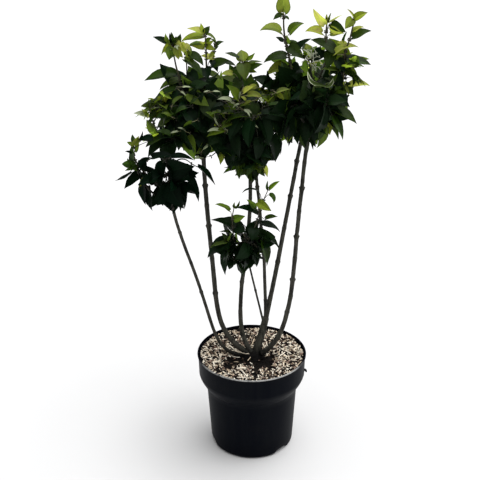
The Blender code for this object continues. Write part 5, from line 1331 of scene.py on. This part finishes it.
# The kinds follow the age of a leaf, from young yellow to deep green, and also where it sits in the crown: the brighter
# kinds carry painted light, kinds 4 and 5 are painted shade, and kind 6 paints glints of light.
LEAF_KINDS = {   # tint: name, face colour, light through, share let through, roughness, gloss, spread of shades, vein colour, slot
    0: ("leaves_yellow", (.37, .44, .062), (.76, .86, .12), .52, .34, .16, .22, (.50, .56, .17), "young_foliage"),
    1: ("leaves_lime", (.138, .185, .018), (.42, .53, .040), .50, .34, .14, .28, (.26, .32, .07), "young_foliage"),
    2: ("leaves_mid", (.058, .100, .0100), (.200, .32, .019), .42, .32, .12, .50, (.12, .18, .038), "young_foliage"),
    3: ("leaves_deep", (.0190, .042, .0055), (.066, .125, .010), .32, .30, .09, .65, (.042, .082, .020), "foliage"),
    4: ("leaves_shade", (.0044, .0132, .0042), (.010, .030, .005), .16, .28, .05, .42, (.010, .026, .012), "foliage"),
    5: ("leaves_painted_deep_shade", (.0011, .0056, .0022), (.004, .013, .003), .14, .34, .018, .42, (.006, .016, .008), "foliage"),
    6: ("leaves_painted_glint", (.34, .39, .24), (.42, .48, .26), .34, .55, .16, .25, (.46, .50, .34), "foliage"),
}


# small gaps in the crown through which the sky shows from the front: (u, v)
SKY = [(291.5, 144.0), (295.5, 145.5), (293.5, 141.5), (177.0, 152.6), (180.5, 153.0), (184.0, 152.8), (189.5, 181.5), (152.6, 186.2),
       (154.6, 165.2), (298.0, 64.5), (348.4, 79.4), (343.6, 78.4), (234.5, 143.4), (261.6, 100.8), (205.5, 73.5), (341.5, 131.0), (342.4, 136.5), (165.2, 181.5),
       (245.0, 126.8), (236.5, 106.0)]


def open_sky(plant):
    """Takes out the grown leaves, with their stalks, that would close one of the small gaps."""
    forward = np.array([0.0, math.cos(LOOK_DOWN), -math.sin(LOOK_DOWN)])
    above = np.array([0.0, math.sin(LOOK_DOWN), math.cos(LOOK_DOWN)])
    drawn = {spray[0] for spray in SPRAYS}
    keep, gone = [], set()
    for leaf, pts in zip(plant.leaves, leaf_points(plant.leaves)):
        q = pts - EYE
        deep = q @ forward
        uv = np.stack([240.0 + FOCAL * q[..., 0] / deep, 240.0 - FOCAL * (q @ above) / deep], -1)
        for axis in (0, 1):      # points halfway, twice, close the steps of the blade
            for _ in range(2):
                a = np.moveaxis(uv, axis, 0)
                b = np.empty((2 * len(a) - 1,) + a.shape[1:])
                b[::2], b[1::2] = a, (a[1:] + a[:-1]) / 2
                uv = np.moveaxis(b, 0, axis)
        near = min(np.linalg.norm(uv - np.array(s), axis=-1).min() for s in SKY)
        if near < 0.9 and leaf["owner"] not in drawn:
            gone.add(tuple(np.round(leaf["p"], 6)))
        else:
            keep.append(leaf)
    plant.leaves = keep
    plant.petioles = [s for s in plant.petioles if tuple(np.round(s[-3], 6)) not in gone]


def make_leaves(plant):
    rng = np.random.RandomState(12)
    drawn = {spray[0] for spray in SPRAYS}
    by_tint = {}
    for leaf in plant.leaves:
        t = leaf["tint"]
        t = 6 if t == 6 else max(0, min(4, t))
        # painted shade: the shade leaves of the low left head take the darker kind 5
        if t == 4 and leaf["owner"].startswith("low_left"):
            t = 5
        by_tint.setdefault(t, []).append(leaf)
    made = []
    for t, leaves in sorted(by_tint.items()):
        name, base, through, share, rough, gloss, vary, vein, slot = LEAF_KINDS[t]
        pts = leaf_points(leaves)
        n, r, c = pts.shape[:3]
        # painted light: the higher the tile the brighter the leaf is painted; the drawn sprays keep to the even ones
        rank = np.array([rng.randint(1, 11) if leaf["owner"] in drawn else rng.randint(0, 14 if t in (4, 5) else 16) for leaf in leaves])
        tiles = np.stack([rank // 4, rank % 4], 1)
        u = (tiles[:, 0, None, None] + 0.02 + 0.96 * (S_ST[None, None, :] * 0.5 + 0.5)) / 4
        v = (tiles[:, 1, None, None] + 0.02 + 0.96 * T_ST[None, :, None]) / 4
        uv = np.stack(np.broadcast_arrays(u, v), -1)
        soup = Soup()
        soup.grids(pts, uv)
        mat = leaf_material(name, base, through, share, rough, gloss, vary, vein, {0: 0.75, 1: 0.55, 2: 0.25}.get(t, 0.0))
        made.append(soup.build(name, mat, slot))
    return made


def make_spent_flower(mat):
    """The dried flower head at the right, a pale wisp of threads and open capsules."""
    soup = Soup()
    rng = np.random.RandomState(4)
    y = -0.058
    threads = [  # (u, v) along each thread, thickness
        ([(311.0, 57.0), (311.2, 53.5), (311.8, 50.0), (313.0, 47.6), (316.2, 52.4)], 1.0),
        ([(313.4, 53.0), (313.2, 57.0), (313.8, 61.6), (315.6, 66.0), (316.0, 72.0)], 1.25),
        ([(314.2, 61.8), (316.8, 61.0), (320.0, 61.4), (322.8, 65.6)], 1.0),
        ([(309.4, 63.6), (312.0, 64.6), (315.0, 67.4), (315.8, 70.0)], 0.9),
        ([(311.0, 57.6), (307.6, 59.2), (304.4, 60.4), (301.2, 63.0)], 0.8),
        ([(311.2, 54.6), (308.6, 54.8), (305.8, 57.4), (304.6, 59.8)], 0.9),
        ([(311.6, 51.4), (308.0, 50.0), (304.6, 50.6), (302.6, 49.0)], 0.8),
        ([(313.6, 58.4), (317.0, 56.6), (320.0, 57.6)], 0.7), ([(315.6, 66.2), (318.4, 67.2), (320.4, 70.2)], 0.7),
        ([(313.4, 55.0), (315.4, 52.6), (317.6, 52.8)], 0.7), ([(314.4, 63.6), (312.0, 68.0), (312.8, 71.2)], 0.7),
    ]
    for pts, thick in threads:
        line = spline([at(u, v, y + rng.uniform(-0.004, 0.004)) for u, v in pts], 4)
        n = len(line)
        soup.tube(line, np.linspace(0.00085, 0.00050, n) * thick, 6)
        for k in range(3, n, 4):
            d = unit(rng.normal(size=3) + np.array([0, -0.3, 0.2]))
            soup.tube(line[k] + d * np.linspace(0, 0.0044, 5)[:, None], np.array([0.0003, 0.0007, 0.0011, 0.0008, 0.0002]) * thick, 6)
    soup.build("spent_flower", mat, "foliage")


def make_curled_leaf(mat):
    """The dry leaf rolled into a boat below the spent flower, with its hooked end."""
    soup = Soup()
    y = -0.066
    line = [(307.6, 71.5), (308.6, 76.0), (310.8, 80.4), (314.6, 83.4), (319.0, 84.4), (323.6, 85.6), (327.8, 86.2), (330.8, 84.2), (332.4, 81.4), (332.8, 78.6)]
    wide = [0.6, 2.9, 4.0, 3.9, 2.9, 1.9, 2.7, 3.7, 3.0, 0.5]
    mids = spline([at(u, v, y) for u, v in line], 5)
    n = len(mids)
    w = np.interp(np.linspace(0, 1, n), np.linspace(0, 1, len(wide)), wide) / 470.0
    d = np.gradient(mids, axis=0)
    d /= np.linalg.norm(d, axis=1, keepdims=True)
    eye = EYE - mids
    eye /= np.linalg.norm(eye, axis=1, keepdims=True)
    side = np.cross(d, eye)
    s = np.linspace(-1, 1, 9)
    roll = s[None] * np.linspace(1.15, 1.35, n)[:, None]
    pts = mids[:, None] + side[:, None] * (np.sin(roll) * w[:, None] * 0.52)[..., None] + eye[:, None] * ((0.6 - np.cos(roll)) * w[:, None] * 0.55)[..., None]
    uv = np.stack(np.broadcast_arrays(np.linspace(0, 1, 9)[None], np.linspace(0, 1, n)[:, None]), -1)
    soup.grid(pts, uv)
    soup.build("curled_leaf", mat, "foliage")


# ------------------------------------------------------------------ build
bark = bark_material("bark", (.0165, .0158, .0122), (.052, .0495, .0385), 160.0, (.031, .036, .024), 0.72)
root_bark = bark_material("root_bark", (.0035, .0028, .0022), (.013, .010, .0075), 190.0, (.009, .008, .006), 0.85)
make_pot(pot_material(), pot_material("pot_lip_plastic", 0.012, True))
make_compost(compost_material())
make_mulch({
    "cream": chip_material("chip_cream", (.90, .84, .72), (.80, .70, .55), (.34, .25, .17)),
    "tan": chip_material("chip_tan", (.52, .41, .29), (.62, .51, .38), (.14, .10, .06)),
    "pink": chip_material("chip_pink", (.26, .17, .13), (.36, .26, .21), (.07, .045, .032)),
    "umber": chip_material("chip_umber", (.070, .046, .033), (.11, .075, .054), (.022, .015, .010)),
    "dark": chip_material("chip_dark", (.016, .012, .010), (.030, .022, .017), (.006, .005, .004)),
})
make_stems(bark)
make_root_crown(root_bark)
make_limbs(bark)
plant = grow_plant()
open_sky(plant)
make_twigs(plant, {
    "twig": stalk_material("twig_bark", (.0065, .0068, .0045), (.015, .0145, .0090)),
    "shoot": stalk_material("young_shoot", (.030, .024, .020), (.060, .058, .026)),
    "stalk_young": stalk_material("leaf_stalk_young", (.13, .13, .055), (.22, .20, .11)),
    "stalk": stalk_material("leaf_stalk", (.0095, .0145, .0055), (.018, .019, .010)),
    "bud": stalk_material("bud_scales", (.016, .0135, .0085), (.032, .031, .015)),
})
leaves = make_leaves(plant)
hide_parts(*MASSES)
make_spent_flower(dry_material("dry_stalk", (.30, .32, .23), (.56, .58, .47), 5.0))
make_curled_leaf(dry_material("curled_dry_leaf", (.060, .095, .018), (.56, .60, .42), 3.0, 2.6))

# ------------------------------------------------------------------ stage, light and camera
scene = bpy.context.scene
ROOM_LIGHT, KEY_LIGHT, KEY_SOFT, KEY_FROM = 0.60, 4.1, 70.0, (0.30, 0.12, 1.0)


def stage_floor():
    m = Nodes("pale_floor")
    shader = m.principled(Base_Color=(0.60, 0.60, 0.603), Roughness=0.9)
    shader.inputs["Specular IOR Level"].default_value = 0.0
    mat = m.surface(shader)
    mesh = bpy.data.meshes.new("floor")
    s = 40.0
    mesh.from_pydata([(-s, -s, 0), (s, -s, 0), (s, s, 0), (-s, s, 0)], [], [(0, 1, 2, 3)])
    mesh.materials.append(mat)
    ob = bpy.data.objects.new("floor", mesh)
    scene.collection.objects.link(ob)


stage_floor()
world = bpy.data.worlds.new("white_room")
scene.world = world
world.use_nodes = True
tree = world.node_tree
tree.nodes["Background"].inputs[0].default_value = (1.0, 1.0, 1.0, 1.0)
# the room is white to look at, and softer as a light
ray = tree.nodes.new("ShaderNodeLightPath")
level = tree.nodes.new("ShaderNodeMix")
level.inputs[2].default_value, level.inputs[3].default_value = ROOM_LIGHT, 1.05
tree.links.new(ray.outputs["Is Camera Ray"], level.inputs[0])
tree.links.new(level.outputs[0], tree.nodes["Background"].inputs[1])
key = bpy.data.lights.new("soft_key", "SUN")
key.energy, key.angle = KEY_LIGHT, math.radians(KEY_SOFT)
lamp = bpy.data.objects.new("soft_key", key)
lamp.rotation_euler = (-Vector(KEY_FROM)).to_track_quat("-Z", "Y").to_euler()
scene.collection.objects.link(lamp)
scene.view_settings.view_transform = "Standard"
scene.view_settings.look = "None"

camera = bpy.data.cameras.new("camera")
camera.sensor_width = 36.0
camera.lens = 36.0 * FOCAL / 480.0
camera.clip_end = 100.0
eye = bpy.data.objects.new("camera", camera)
eye.location = EYE
eye.rotation_euler = (math.pi / 2 - LOOK_DOWN, 0.0, 0.0)
scene.collection.objects.link(eye)
scene.camera = eye
